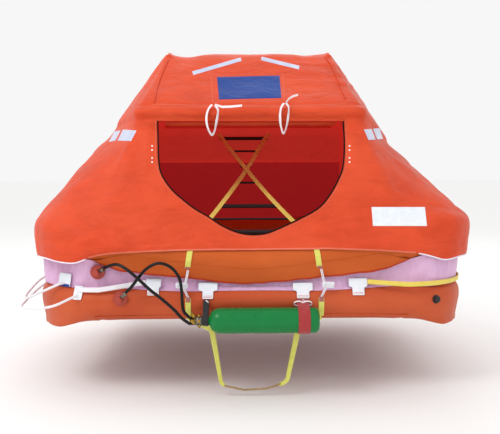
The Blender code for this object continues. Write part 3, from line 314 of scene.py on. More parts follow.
def smoothLine(points, spacing):
    # evenly spaced points on a smooth curve through the given ones, as the part's own lines are made
    points = [Vector(point) for point in points]
    ends = [points[0] * 2 - points[1]] + points + [points[-1] * 2 - points[-2]]
    fine = []
    for a, b, c, d in zip(ends, ends[1:], ends[2:], ends[3:]):
        for step in range(24):
            t = step / 24
            fine.append(0.5 * (2 * b + (c - a) * t + (2 * a - 5 * b + 4 * c - d) * t * t
                               + (3 * b - a - 3 * c + d) * t ** 3))
    fine = np.array([tuple(p) for p in fine + [points[-1]]])
    lengths = np.r_[0, np.cumsum(np.linalg.norm(np.diff(fine, axis=0), axis=1))]
    wanted = np.linspace(0, lengths[-1], max(2, round(lengths[-1] / spacing)) + 1)
    return [Vector([np.interp(w, lengths, fine[:, axis]) for axis in range(3)]) for w in wanted]


def capped(faces, rows, columns):
    # the two ends of a tube of faces closed by flat ones
    return faces + [tuple(range(columns)), tuple(range((rows - 1) * columns, rows * columns))]


# across and through a flat tape whose edges are rounded, in shares of its width and thickness
tapeOutline = ((-0.5, -0.18), (-0.5, 0.18), (-0.47, 0.5), (-0.25, 0.5), (0.0, 0.46), (0.25, 0.5), (0.47, 0.5),
               (0.5, 0.18), (0.5, -0.18), (0.47, -0.5), (0.25, -0.5), (0.0, -0.46), (-0.25, -0.5), (-0.47, -0.5))


def webbing(name, route, wide, width, thickness, material, slot, body="raft", replaces=(), closed=False):
    # a flat tape along a route; wide is its width's direction, one for all or one for each point, and
    # width is a number or a function of the share of the length
    route = [Vector(point) for point in route]
    points, uv, run = [], [], 0.0
    count = len(route)
    for index, point in enumerate(route):
        before = route[index - 1] if closed or index else point
        after = route[(index + 1) % count] if closed or index < count - 1 else point
        along = (after - before).normalized()
        direction = Vector(wide[index]) if isinstance(wide, list) else Vector(wide)
        edge = (direction - along * direction.dot(along)).normalized()
        face = along.cross(edge)
        size = width(index / (count - 1)) if callable(width) else width
        for across, through in tapeOutline:
            points.append(point + edge * across * size + face * through * thickness)
            uv.append((run, across * size))
        run += (after - point).length
    faces = gridFaces(count, len(tapeOutline), closed, True)
    if not closed:
        faces = capped(faces, count, len(tapeOutline))
    return outwardFaces(addPiece(name, points, faces, material, body, uv, replaces, sharp=60))


def roundCord(name, route, radius, material, body="raft", replaces=(), sides=12):
    curve = bpy.data.curves.new(name, "CURVE")
    curve.dimensions = "3D"
    curve.bevel_depth = radius
    curve.bevel_resolution = max(1, sides // 4 - 1)
    curve.use_fill_caps = True
    spline = curve.splines.new("POLY")
    spline.points.add(len(route) - 1)
    for point, place in zip(spline.points, route):
        point.co = (*place, 1.0)
    spline.use_smooth = True
    curve.materials.append(material)
    return placeObject(name, curve, body, replaces)


def turned(name, profile, start, axis, material, slot, body="raft", replaces=(), sides=48, ribs=0, ribDepth=0.0,
           sharp=35):
    # a profile of (distance along the axis, radius) turned about it; ribs flute its widest part
    axis = Vector(axis).normalized()
    across = axis.orthogonal().normalized()
    upward = axis.cross(across)
    widest = max(radius for along, radius in profile)
    points, uv, run = [], [], 0.0
    for index, (along, radius) in enumerate(profile):
        if index:
            run += math.hypot(along - profile[index - 1][0], radius - profile[index - 1][1])
        fluted = ribDepth if ribs and radius > widest * 0.8 else 0.0
        for side in range(sides):
            turn = 2 * math.pi * side / sides
            reach = radius - fluted * (0.5 + 0.5 * math.cos(ribs * turn))
            points.append(Vector(start) + axis * along + (across * math.cos(turn) + upward * math.sin(turn)) * reach)
            uv.append((turn * widest, run))
    faces = capped(gridFaces(len(profile), sides, wrapColumns=True), len(profile), sides)
    return outwardFaces(addPiece(name, points, faces, material, body, uv, replaces, sharp=sharp))


def ridge(value, centre, width):
    return np.exp(-((value - centre) / width) ** 2)


def ramp(value, low, high):
    share = np.clip((value - low) / (high - low), 0, 1)
    return share * share * (3 - 2 * share)


def within(value, low, full, fading, gone):
    # rises from 0 at low to 1 at full, and falls from fading to 0 again at gone
    return ramp(value, low, full) * ramp(-value, -gone, -fading)


def noiseOver(points, scale, seed):
    # smooth noise from -1 to 1 at each point of a grid, stretched by scale along each axis
    flat = points.reshape(-1, 3) * np.array(scale) + seed
    return np.array([noise.noise(Vector(point)) for point in flat]).reshape(points.shape[:-1])


# camera: at the photograph's distance and angle, level with the cabin's sill
photo = {"width": 500, "height": 434, "lens": 48.15, "sensor": 36.0, "place": (-0.0565, -3.764, 0.632),
         "turn": (85.92, -0.2, -0.905), "floor": -0.40}
camera = bpy.data.objects.new("camera", bpy.data.cameras.new("camera"))
bpy.context.scene.collection.objects.link(camera)
camera.location = photo["place"]
tilt, roll, pan = (math.radians(degrees) for degrees in photo["turn"])
camera.rotation_euler = (Euler((tilt, 0, pan)).to_matrix() @ Euler((0, 0, roll)).to_matrix()).to_euler()
camera.data.lens = photo["lens"]
camera.data.sensor_width = photo["sensor"]
bpy.context.scene.camera = camera
focal = photo["lens"] / photo["sensor"] * photo["width"]


def sightLine(x, y):
    # from the camera through a place in the photograph's frame
    aim = Vector((x - photo["width"] / 2, photo["height"] / 2 - y, -focal))
    return Vector(photo["place"]), (camera.rotation_euler.to_matrix() @ aim).normalized()


def atDepth(x, y, depth):
    start, aim = sightLine(x, y)
    return start + aim * ((depth - start.y) / aim.y)


def inPhoto(points):
    # where points fall in the photograph's frame
    seen = (np.asarray(points, float) - np.array(photo["place"])) @ np.array(camera.rotation_euler.to_matrix())
    return np.stack([photo["width"] / 2 - focal * seen[..., 0] / seen[..., 2],
                     photo["height"] / 2 + focal * seen[..., 1] / seen[..., 2]], -1)


# floor and light: a wide pale floor just below the ladder, and large soft boxes above the camera
studio = {"floorHex": "#FCFCFB", "skyHex": "#FFFFFF", "sky": 0.93, "radius": 60.0, "middle": (0, 0, 0.45),
          "boxes": (("keyBox", (-3.3, -3.4, 4.6), 2.2, 112.0), ("fillBox", (3.4, -4.6, 2.4), 3.0, 4.0),
                    ("rearBox", (0.8, 4.6, 4.2), 3.4, 50.0))}
for name, place, size, watts in studio["boxes"]:
    light = bpy.data.objects.new(name, bpy.data.lights.new(name, "AREA"))
    light.data.energy = watts
    light.data.size = size
    light.location = place
    light.rotation_euler = (Vector(studio["middle"]) - Vector(place)).to_track_quat("-Z", "Y").to_euler()
    bpy.context.scene.collection.objects.link(light)
world = bpy.data.worlds.new("studioSky")
world.use_nodes = True
world.node_tree.nodes["Background"].inputs["Color"].default_value = linear(studio["skyHex"])
world.node_tree.nodes["Background"].inputs["Strength"].default_value = studio["sky"]
bpy.context.scene.world = world
bpy.context.scene.view_settings.view_transform = "Standard"
# matte floor paint, pale and without a shine
floorPaint = newMaterial("mattePaleFloor", studio["floorHex"], 0.85, Specular_IOR_Level=0.1)[0]
floorRing = [(studio["radius"] * math.cos(math.pi * s / 36), studio["radius"] * math.sin(math.pi * s / 36),
              photo["floor"]) for s in range(72)]
floorMesh = bpy.data.meshes.new("studioFloor")
floorMesh.from_pydata(floorRing, [], [tuple(range(72))])
floorMesh.materials.append(floorPaint)
studioFloor = bpy.data.objects.new("studioFloor", floorMesh)
bpy.context.scene.collection.objects.link(studioFloor)
print("camera, light and floor made")

# cords: two gas hoses and two slack lines, on the routes that the part's source gives them
hose = {"radius": 0.007, "start": -0.2524, "boss": 0.015, "sides": 20,
        "upper": {"points": ((-0.280, -0.858, 0.006), (-0.312, -0.868, 0.033), (-0.345, -0.881, 0.074),
                             (-0.392, -0.887, 0.118), (-0.444, -0.886, 0.160), (-0.499, -0.875, 0.208),
                             (-0.550, -0.857, 0.247), (-0.600, -0.833, 0.266)),
                  "inlet": (-0.697, 0.222), "degrees": 35, "depth": -0.796},
        "lower": {"points": ((-0.276, -0.847, 0.027), (-0.304, -0.855, 0.061), (-0.309, -0.864, 0.107),
                             (-0.311, -0.868, 0.155), (-0.321, -0.868, 0.211), (-0.357, -0.863, 0.256),
                             (-0.410, -0.858, 0.274), (-0.462, -0.853, 0.251), (-0.502, -0.848, 0.208),
                             (-0.535, -0.842, 0.165)),
                  "inlet": (-0.590, 0.107), "degrees": 50, "depth": -0.838},
        "ferrule": ((0.0, 0.0080), (0.002, 0.0092), (0.016, 0.0092), (0.018, 0.0082), (0.026, 0.0080))}


def hoseRoute(run):
    turn = math.radians(run["degrees"])
    ends = [(run["inlet"][0] + reach * math.cos(turn), run["depth"], run["inlet"][1] + reach * math.sin(turn))
            for reach in (0.042, hose["boss"] + 0.0006)]
    first = (hose["start"], run["points"][0][1], run["points"][0][2])
    return lift([first, *smoothLine([*run["points"], ends[0]], 0.008), ends[1]])


def bendingHose(name, route, radius, material, replaces):
    # a round hose as a mesh, baked into place and tied to no body
    points, uv, run, sides = [], [], 0.0, hose["sides"]
    across = (route[1] - route[0]).orthogonal().normalized()
    for index, place in enumerate(route):
        before, after = route[max(index - 1, 0)], route[min(index + 1, len(route) - 1)]
        along = (after - before).normalized()
        across = (across - along * across.dot(along)).normalized()
        upward = along.cross(across)
        run += (place - before).length
        for side in range(sides):
            turn = 2 * math.pi * side / sides
            points.append(place + (across * math.cos(turn) + upward * math.sin(turn)) * radius)
            uv.append((turn * radius, run))
    faces = capped(gridFaces(len(route), sides, wrapColumns=True), len(route), sides)
    piece = outwardFaces(addPiece(name, points, faces, material, None, uv, replaces, sharp=50))
    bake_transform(piece)
    return piece


for which in ("upper", "lower"):
    route = hoseRoute(hose[which])
    gasHose = bendingHose("gasHose" + which.title(), route, hose["radius"], hoseRubber,
                          ["inflation_hose_" + which])
    for end, (a, b) in enumerate(((1, 2), (len(route) - 3, len(route) - 2))):
        along = (route[b] - route[a]).normalized()
        start = route[-1] - along * 0.030 if end else route[0] + along * 0.001
        turned("hoseFerrule" + which.title() + str(end), hose["ferrule"], start, along,
                               nickelBrass if end else goldBrass, "valve_brass", "raft" if end else "cylinder",
                               sides=24)

slackLine = {"radius": 0.006,
             "upper": ((-0.8615, -0.7160, 0.165), (-0.8759, -0.7359, 0.165), (-1.000, -0.715, 0.110),
                       (-1.075, -0.600, 0.075), (-1.110, -0.450, 0.075), (-1.090, -0.330, 0.115),
                       (-1.0383, -0.240, 0.150), (-1.0137, -0.240, 0.150)),
             "lower": ((-0.7874, -0.7797, 0.118), (-0.7950, -0.8031, 0.118), (-0.880, -0.850, 0.085),
                       (-1.000, -0.775, 0.058), (-1.090, -0.620, 0.036), (-1.125, -0.440, 0.032),
                       (-1.100, -0.310, 0.070), (-1.0383, -0.240, 0.120), (-1.0137, -0.240, 0.120))}
for which in ("upper", "lower"):
    points = slackLine[which]
    route = lift([Vector(points[0]), *smoothLine(points[1:-1], 0.010), Vector(points[-1])])
    line = roundCord("slackLine" + which.title(), route, slackLine["radius"], whiteWebbing,
                     replaces=["lifeline_left_" + which])
print("hoses and slack lines made")

# The ring that both tubes follow, in 40 stations: a quarter is an end's half, a corner and a side's half.
# A place is how far a station is from its end's middle, from 0 to 10, with the corner from 3 to 8.
# Each tube's numbers: its centre's height, what its corners add to that, half its height, what they add to it.
ring = {"halfLength": 0.91, "halfWidth": 0.70, "corner": 0.22, "reach": 0.10, "endX": (0, 0.5, 0.69),
        "sideY": (0.48, 0.24, 0), "upper": (0.2576, 0.125, 0.0892, 0.007), "lower": (0.084, -0.020, 0.084, 0.010)}
# how the lower tube is squeezed at its corners, where its lower edge comes to a blunt point
pinch = {"power": (0.35, 0.70), "raised": 0.10, "turn": -0.86, "spread": 0.30, "out": 0.09, "down": 0.23,
         "lean": (0.08, 0.05, 0.10)}


def foldStations(stations):
    stations = np.mod(np.asarray(stations, float), 40)
    quarter = np.floor(stations / 10).astype(int)
    place = stations - 10 * quarter
    place = np.where(quarter % 2 == 1, 10 - place, place)
    return place, np.where(quarter < 2, 1.0, -1.0), np.where((quarter == 0) | (quarter == 3), -1.0, 1.0)


def ringPlaces(stations):
    # points on the tubes' centre line, with the direction outward there
    place, side, end = foldStations(stations)
    turn = np.radians(18) * np.clip(place - 3, 0, 5)
    x = np.interp(place, [0, 2, 3], ring["endX"]) + ring["corner"] * np.sin(turn)
    y = np.where(place <= 8, ring["sideY"][0] + ring["corner"] * np.cos(turn),
                 np.interp(place, [8, 9, 10], ring["sideY"]))
    zero = np.zeros_like(x)
    return np.stack([side * x, end * y, zero], -1), np.stack([side * np.sin(turn), end * np.cos(turn), zero], -1)


def tubeShape(places, upper):
    # the height of a tube's centre and half its height, which change towards the corners
    share = np.minimum(1, (np.abs(places[..., 0]) / ring["halfLength"]) ** 1.3
                       * (0.45 + 0.55 * (np.abs(places[..., 1]) / ring["halfWidth"]) ** 1.5))
    height, raised, half, fuller = ring["upper" if upper else "lower"]
    return height + raised * share, half + fuller * share


def onTube(stations, upper, degrees, off=0.0):
    # places so many degrees round a tube, counted up from its outer side
    places, outward = ringPlaces(stations)
    height, rise = tubeShape(places, upper)
    turn = np.radians(np.mod(degrees + 180, 360) - 180)
    across, upright = np.cos(turn) * np.ones_like(height), np.sin(turn) * np.ones_like(height)
    if not upper:
        place = foldStations(stations)[0]
        outer = (across > 0) * (upright < 0)
        pinched = within(place, 3.4, 5.4, 7.6, 9.2)
        power = 1 - pinched * (pinch["power"][1] * outer + pinch["power"][0] * (across > 0) * (upright >= 0))
        across = np.sign(across) * np.abs(across) ** power
        upright = np.sign(upright) * np.abs(upright) ** power
        raised = pinch["raised"] * within(place, 1.0, 2.6, 3.7, 4.9) * (upright < 0)
        point = pinched * ridge(turn, pinch["turn"], pinch["spread"]) * outer
        even, tilt, lower = pinch["lean"]
        lean = even + tilt * upright + lower * np.minimum(upright, 0)
        across = across * (1 + pinched * lean * (across > 0)) + pinch["out"] * point
        upright = upright * (1 - raised) - pinch["down"] * point
    points = places + outward * ((ring["reach"] + off) * across)[..., None]
    points[..., 2] = height + (rise + off) * upright
    return points


def evenStations(perQuarter):
    # stations spread so that the columns are about as wide on the straights as round the corners
    steps = []
    for start, length in enumerate((0.25, 0.25, 0.19, 0.085, 0.085, 0.085, 0.085, 0.085, 0.24, 0.24)):
        count = max(2, round(length * perQuarter / 1.595))
        steps += [start + share for share in np.linspace(0, 1, count + 1)[:-1]]
    quarter = np.array(steps)
    return np.concatenate([quarter, [10.0], 20 - quarter[:0:-1], 20 + quarter, [30.0], 40 - quarter[:0:-1]])


# Tubes: smooth where they are blown tight, with small radial creases where the straight lengths meet
# in the corners.
tube = {"columns": 96, "rows": 56, "joints": (3.0, 4.7, 6.4, 8.0), "crease": 0.0035, "ripple": 0.0012}
for name, upper, material, node in (("upperTubeSkin", True, upperRubber, "upper_tube"),
                                    ("lowerTubeSkin", False, lowerRubber, "lower_tube")):
    stations = evenStations(tube["columns"])
    place = foldStations(stations)[0]
    grid = np.stack([onTube(stations, upper, angle) for angle in np.linspace(0, 360, tube["rows"], endpoint=False)])
    dent = sum(ridge(place, joint, 0.10) for joint in tube["joints"])
    ripple = noiseOver(grid, (30, 30, 12), 3.0) * within(place, 2.5, 4.0, 8.0, 9.5)
    centre = ringPlaces(stations)[0]
    centre[:, 2] = tubeShape(centre, upper)[0]
    away = grid - centre[None]
    away /= np.linalg.norm(away, axis=2, keepdims=True)
    grid -= away * (tube["crease"] * dent[None] + tube["ripple"] * (1 + ripple))[..., None]
    gridPiece(name, grid - below, material, True, True, [node])

# the band over the joint between the tubes: loose lilac sheet, puckered where it is pulled round the corners
band = {"columns": 230, "rows": 22, "off": 0.0006, "pucker": 0.0030, "thick": 0.0016,
        "swell": (0.0012, 0.0022, 0.0040, 0.0012), "corner": (0.0, 0.026, 0.028, 0.010)}


def buildBand():
    stations = evenStations(band["columns"])
    place = foldStations(stations)[0]
    # drawn tight over the valley round the corners, but not under the patch on the front left one
    taut = ramp(place, 2.8, 4.6) * (1 - 0.95 * ridge(stations, 35.0, 1.1))
    low = 39 + 20 * ramp(place, 1.0, 3.0) - 5 * taut
    edges = [onTube(stations, upper, degrees, band["off"]) for upper, degrees in
             ((False, low), (False, low * 0.5 + 38), (True, -67.5 + 20 * taut), (True, -55 + 24 * taut))]
    outward = ringPlaces(stations)[1]
    ends = [edge + outward * (swell + corner * taut)[:, None]
            for edge, swell, corner in zip(edges, band["swell"], band["corner"])]
    rows = []
    for share in np.linspace(0, 1, band["rows"]):
        step = min(2, int(share * 3))
        part = share * 3 - step
        rows.append(ends[step] + (ends[step + 1] - ends[step]) * ramp(part, 0, 1) * 0.4
                    + (ends[step + 1] - ends[step]) * part * 0.6)
    grid = np.stack(rows)
    normals = gridNormals(grid)
    fade = np.sin(np.pi * np.linspace(0, 1, band["rows"])) ** 0.6
    wrinkle = noiseOver(grid, (34, 34, 16), 11.0) + 0.5 * noiseOver(grid, (80, 80, 30), 5.0)
    grid = grid + normals * (fade[:, None] * band["pucker"] * wrinkle)[..., None]
    shell = np.concatenate([grid + normals * band["thick"] / 2, (grid - normals * band["thick"] / 2)[::-1]])
    return gridPiece("jointBand", shell - below, bandCloth, True, True, ["tube_band"], 70)


buildBand()

# a flap hangs from the upper tube over the band's edge, along each end, wavy where it isn't glued; high,
# middle, bend and tip are degrees round the tube, and edge is its lower edge in the photograph's frame
flap = {"high": -14, "middle": -52, "bend": -38, "tip": -54, "half": 3.3, "columns": 180, "rows": 11,
        "glued": 0.0006, "bendOff": 0.0120, "tipOff": 0.0010, "stand": 0.0045, "thick": 0.0012, "lip": 0.0006,
        "edge": ((70, 264), (90, 268.5), (130, 272.5), (160, 275.5), (190, 278), (215, 282), (240, 284),
                 (262, 283), (300, 279.5), (345, 275), (395, 268.5), (436, 262.5))}
welt = {"degrees": -38, "half": 3.2, "columns": 90, "off": 0.0004, "radius": 0.0030}


def interpolated(line, x):
    return np.interp(x, [point[0] for point in line], [point[1] for point in line])


def buildFlap(which, turned):
    stations = np.linspace(-flap["half"], flap["half"], flap["columns"])
    fade = ramp(-np.abs(stations), -flap["half"], 1 - flap["half"])
    high = onTube(stations, True, flap["high"] + flap["bend"] * (1 - fade), flap["glued"])
    middle = onTube(stations, True, flap["middle"], flap["stand"] * 0.6)
    seen = inPhoto(middle - below)
    aim = interpolated(flap["edge"], seen[:, 0])
    low = middle.copy()
    wave = noiseOver(middle[None] * np.array([1, 0, 0]), (16, 1, 1), 3.3)[0]
    for index, (point, y) in enumerate(zip(middle, aim)):
        depth = float(point[1]) - 0.010 - flap["stand"]
        place = atDepth(float(seen[index, 0]), float(y) + 0.8 * float(wave[index]), depth)
        low[index] = (point[0], depth - 0.003 * wave[index], min(place.z + draft, point[2] - 0.004))
    tip = onTube(stations, True, flap["tip"], flap["tipOff"])
    low = tip + (low - tip) * fade[:, None]
    bend = onTube(stations, True, flap["bend"], flap["bendOff"])
    grid = np.stack([high * (1 - t) ** 2 + bend * 2 * t * (1 - t) + low * t * t
                     for t in np.linspace(0, 1, flap["rows"])])
    if turned:
        grid = grid * np.array([-1, -1, 1])
    normals = gridNormals(grid, False)
    # the dark red lip is folded round the flap's lower edge
    lip = np.concatenate([(grid - normals * flap["lip"])[-2:],
                          (grid + normals * (flap["thick"] + flap["lip"]))[-2:][::-1]])
    lip[1:3, :, 2] -= flap["lip"] * 2
    gridPiece("jointFlapLip" + which, lip - below, flapCloth, True)
    shell = np.concatenate([grid, (grid + normals * flap["thick"])[::-1]])
    gridPiece("jointFlap" + which, shell - below, upperRubber, True)


# the welt of the seam that closes the lower tube is low on its outside, front and back
for which, middle in (("Front", 0), ("Rear", 20)):
    stations = np.linspace(middle - welt["half"], middle + welt["half"], welt["columns"])
    line = onTube(stations, False, welt["degrees"], welt["off"])
    roundCord("tubeWelt" + which, lift(line), welt["radius"], lowerRubber, sides=10)
buildFlap("Front", False)
buildFlap("Rear", True)
print("tubes and band made")

# Canopy: one sheet over all its panels, on the part's own lines, from the hem on the tubes to the ridge.
canopy = {"seam": (45, 3), "hemRange": (48, -58), "hemSides": -50, "plumb": 0.88, "cornerSag": (0.002, 0.012),
          "seamLift": 0.0064, "bulge": 0.006, "sag": 0.010, "barY": 0.455, "barHeight": 0.950, "barHalf": 0.555,
          "barSkin": 0.0485, "barDegrees": (-40, 15, 70), "inward": (0.0, 0.012, 0.036),
          "lift": (-0.018, 0.016, 0.052), "kinkLeft": (0.735, 0.928), "kinkRight": (0.766, 0.840),
          "kinkHalf": 0.055, "ridgeHalf": 0.447, "ridgeHeight": 1.326, "roofSag": 0.006, "square": (0.030, 0.018),
          "shoulder": (0.034, 0.028), "columns": 128, "lining": 0.007, "rows": (24, 24, 22, 8, 8, 26, 26, 8),
          "skirtRows": 18, "vent": 3}
# the doorway's edge, in the photograph's frame: down the left side, round the sill and up the right
door = {"sides": ((157.8, 121), (158.2, 143), (158.8, 160), (161.5, 174), (171.5, 189), (183, 199.5), (194, 208),
                  (209, 217), (223, 226), (238, 232.4), (252.7, 234.6), (267, 233), (282, 227), (301, 218),
                  (319, 207.5), (330, 194.5), (338.5, 179), (343, 166), (344.3, 145), (343.2, 121)),
        "front": -0.36, "half": 0.60, "high": 0.90, "reach": 0.05}
# where the hem falls in the photograph's frame, from left to right
hemAim = ((28, 250), (35, 256), (44, 262), (52, 264), (75, 263.8), (84, 259), (96, 255.6), (110, 253.8),
          (140, 252), (180, 250.4), (250, 249.6), (330, 249), (380, 250.6), (420, 253.2), (436, 257), (446, 261),
          (462, 261.5), (476, 255))


def betweenKeys(keys, stations):
    # a row through points given for some places of a quarter, the same on all four of them
    place, side, end = foldStations(stations)
    columns = np.array([key[1] for key in keys], float)
    x, y, z = (np.interp(place, [key[0] for key in keys], columns[:, axis]) for axis in range(3))
    return np.stack([side * x, end * y, z], -1)


def barRow(stations, step):
    # the cloth around the bar: step 0 under it, 1 in front of it, 2 above it
    turn = math.radians(canopy["barDegrees"][step])
    y = canopy["barY"] + canopy["barSkin"] * math.cos(turn)
    z = canopy["barHeight"] + canopy["barSkin"] * math.sin(turn)
    both = []
    for kinkX, kinkZ in (canopy["kinkLeft"], canopy["kinkRight"]):
        x, high = kinkX - canopy["inward"][step], kinkZ + canopy["lift"][step]
        both.append(betweenKeys([(0, (0, y, z)), (3, (canopy["barHalf"], y, z)), (6, (x, canopy["kinkHalf"], high)),
                                 (10, (x, 0, high))], stations))
    return np.where(foldStations(stations)[1][:, None] > 0, both[1], both[0])


def earRow(stations):
    half, high = canopy["ridgeHalf"], canopy["ridgeHeight"]
    return betweenKeys([(0, (0, 0.052, high - 0.026)), (3, (half, 0.050, high - 0.018)),
                        (6, (half + 0.020, 0.034, high - 0.030)), (10, (half + 0.028, 0.0, high - 0.034))], stations)


def ridgeRow(stations):
    half, high = canopy["ridgeHalf"], canopy["ridgeHeight"]
    return betweenKeys([(0, (0, 0, high - 0.008)), (3, (half, 0, high)), (10, (half + 0.004, 0, high))], stations)


def softened(row, turns):
    # rounds the corners that the straight steps leave, by a few millimetres
    for turn in range(turns):
        row = (np.roll(row, 1, axis=0) + 2 * row + np.roll(row, -1, axis=0)) / 4
    return row


def seamDegrees(stations):
    degrees, corner = canopy["seam"]
    return degrees + corner * ramp(foldStations(stations)[0], 2.6, 4.8)


def cornerShare(place):
    # how far a place is in the fuller part of the corner, from 0 to 1
    return within(place, 3.4, 5.6, 7.3, 9.3)


def clothOnTube(stations, degrees):
    # off the tube by the cloth's lift, proud of its round corners, and hanging straight where it has passed
    # the tube's middle
    place, side, end = foldStations(stations)
    reach, degrees = ramp(place, 2.9, 4.4), np.asarray(degrees, float)
    shoulder = np.where(side > 0, *canopy["shoulder"]) * cornerShare(place) * ridge(degrees, 48, 30)
    proud = canopy["seamLift"] + canopy["bulge"] * reach + shoulder
    points = onTube(stations, True, degrees, proud)
    plumb = onTube(stations, True, 0.0 * degrees, proud)
    hanging = ramp(-degrees, -8.0, 12.0) * reach * canopy["plumb"]
    square = np.where(side > 0, *canopy["square"]) * cornerShare(place)
    sideways = (plumb - points) * np.array([1, 1, 0])
    return points + sideways * hanging[:, None] + ringPlaces(stations)[1] * square[:, None]


def canopyRows(stations):
    place, side, end = foldStations(stations)
    seam = clothOnTube(stations, seamDegrees(stations))
    under, front, top = (softened(barRow(stations, step), 6) for step in range(3))
    full = cornerShare(place)
    sag = canopy["sag"] * (1 - full) - np.where(side > 0, *canopy["cornerSag"]) * full
    walls = []
    for share in (0.35, 0.70):
        point = seam + (under - seam) * share
        inward = -point * np.array([1, 1, 0])
        inward /= np.linalg.norm(inward, axis=1, keepdims=True)
        walls.append(point + inward * sag[:, None] * math.sin(math.pi * share))
    ear = softened(earRow(stations), 6)
    roof = (top + ear) / 2 - np.array([0, 0, canopy["roofSag"]])
    return [seam, *walls, under, front, top, roof, ear, ridgeRow(stations)]


def fineRows(rows, counts):
    # a smooth curve through the rows, each span in so many steps
    ends = [rows[0] * 2 - rows[1], *rows, rows[-1] * 2 - rows[-2]]
    fine = []
    for span, count in enumerate(counts):
        a, b, c, d = ends[span:span + 4]
        before, here, after = (np.maximum(np.linalg.norm(q - p, axis=1, keepdims=True), 1e-6) ** 0.5
                               for p, q in ((a, b), (b, c), (c, d)))
        first = ((c - b) / here - (c - a) / (before + here) + (b - a) / before) * here
        last = ((d - c) / after - (d - b) / (here + after) + (c - b) / here) * here
        for step in range(count):
            t = step / count
            fine.append(b * (2 * t ** 3 - 3 * t * t + 1) + first * (t ** 3 - 2 * t * t + t)
                        + c * (3 * t * t - 2 * t ** 3) + last * (t ** 3 - t * t))
    return fine + [rows[-1]]


def hemDegrees(stations):
    # how far round the tube the hem hangs: at the front as the photograph shows it, at the rear the same,
    # and past the tube's middle along both sides
    place, side, end = foldStations(stations)
    front = np.where(side > 0, place, 40 - place) % 40
    highest, lowest = canopy["hemRange"]
    angles = np.linspace(highest, lowest, 107)
    seen = np.stack([inPhoto(clothOnTube(front, angle * np.ones(len(front))) - below) for angle in angles])
    aim = interpolated(hemAim, seen[..., 0])
    chosen = angles[np.argmax((seen[..., 1] >= aim) | (angles[:, None] <= lowest), axis=0)]
    blend = ramp(place, 4.6, 5.6)
    return chosen * (1 - blend) + canopy["hemSides"] * blend


def canopySkirt(stations):
    # below the seam the cloth lies on the tube, down to the hem
    seam, rows = seamDegrees(stations), canopy["skirtRows"]
    hem = np.minimum(softened(hemDegrees(stations)[:, None], 3)[:, 0], seam - 2)
    return [clothOnTube(stations, hem + (seam - hem) * step / rows) for step in range(rows)]


# wrinkles: how far the cloth stands out in metres, and for those that are noise, how much the noise is
# stretched along each axis and where it starts
creases = {"broad": (0.0065, (3.5, 3.5, 2.5), 1.7), "fine": (0.0028, (14, 14, 6), 4.1),
           "side": (0.0060, (9, 16, 2.2), 8.3), "hem": (0.0036, (26, 26, 7), 12.9),
           "beside": (0.0026, (4, 4, 46), 21.0), "fan": (0.0030, (2.6, 2.6, 2.6), 61.0),
           "level": (0.0042, (1.6, 0.4, 34), 33.0), "roof": (0.0022, (7, 2.2, 2.2), 41.0),
           "slant": (0.0042, (30, 4, 3), 51.0), "leg": 0.0080, "fold": 0.012, "bar": 0.008, "peak": 0.009}


def creased(kind, places):
    depth, scale, seed = creases[kind]
    return depth * noiseOver(places, scale, seed)


def wrinkled(grid, stations):
    place = foldStations(stations)[0]
    x, y, z = grid[..., 0], grid[..., 1], grid[..., 2]
    width = np.abs(x)
    # the ridge sags a little beside each end
    z -= ramp(z, 1.18, 1.31) * (0.022 * ridge(x, -0.345, 0.095) + 0.012 * ridge(x, 0.31, 0.10))
    normals = gridNormals(grid)
    height = creased("broad", grid) + creased("fine", grid)
    # the side walls pull into upright folds between the tube and the arch's bend
    height += ramp(place, 3.2, 5.0)[None] * within(z, 0.36, 0.50, 0.75, 0.93) * creased("side", grid)
    # near the hem short puckers run out from the seam, most round the corners
    height += ridge(z, 0.36, 0.05) * (0.35 + 0.65 * ramp(place, 2.5, 4.0))[None] * creased("hem", grid)
    # the end arches' legs show as soft ridges that fade half way down, at both ends
    ends = ramp(-place, -4.2, -3.0)[None]
    height += creases["leg"] * ends * ridge(width, 0.492, 0.030) * within(z, 0.60, 0.78, 0.90, 0.93)
    # fine level creases lie beside the door, low on the front, and on the roof's right
    height += ends * ridge(width, 0.50, 0.10) * ridge(z, 0.49, 0.08) * creased("beside", grid)
    roof, level = ramp(z, 1.02, 1.08), 0.30 + 0.70 * ramp(x, 0.02, 0.30)
    height += roof * level * ramp(-z, -1.30, -1.24) * creased("level", grid) + roof * creased("roof", grid)
    # long shallow wrinkles fan out and down from the doorway's two lower corners
    fan = np.stack([np.arctan2(z - 0.56, width - 0.02) * 9, 0.6 * np.hypot(z - 0.56, width - 0.02), np.sign(x)], -1)
    height += ends * ridge(width, 0.42, 0.17) * ramp(-z, -0.60, -0.46) * creased("fan", fan)
    # one fold on each side runs from the ear down to the bar's end
    across = width - (0.560 - 0.085 * np.clip((z - 0.99) / (1.29 - 0.99), 0, 1))
    height -= (creases["fold"] * (ridge(across, 0.0, 0.018) - 0.5 * ridge(across, 0.035, 0.02))
               * within(z, 0.97, 1.03, 1.22, 1.31) * ramp(np.abs(y), 0.02, 0.12))
    # the bar stands out as a roll between a crease under it and the seam over it, past the door at both ends
    height += (creases["bar"] * ends * ramp(-width, -0.60, -0.545)
               * (ridge(z, 0.952, 0.030) - 0.9 * ridge(z, 0.893, 0.016) - 0.5 * ridge(z, 0.996, 0.009)))
    # short slanting wrinkles run down from the bar's ends beside the door
    slant = np.stack([x + np.sign(x) * 0.35 * z, y, z], -1)
    height += ends * ridge(width, 0.585, 0.085) * within(z, 0.62, 0.84, 0.86, 0.92) * creased("slant", slant)
    # the ridge's two ends stand up a little, and the hem stays nearly flat
    height[-10:] += (creases["peak"] * ridge(width, 0.437, 0.016))[-10:]
    height[-1] *= 0.6
    height[:2] *= 0.5
    return grid + normals * height[..., None]


def smoothPixels(points):
    return np.array([(p.x, p.y) for p in smoothLine([(x, y, 0) for x, y in points], 0.8)])


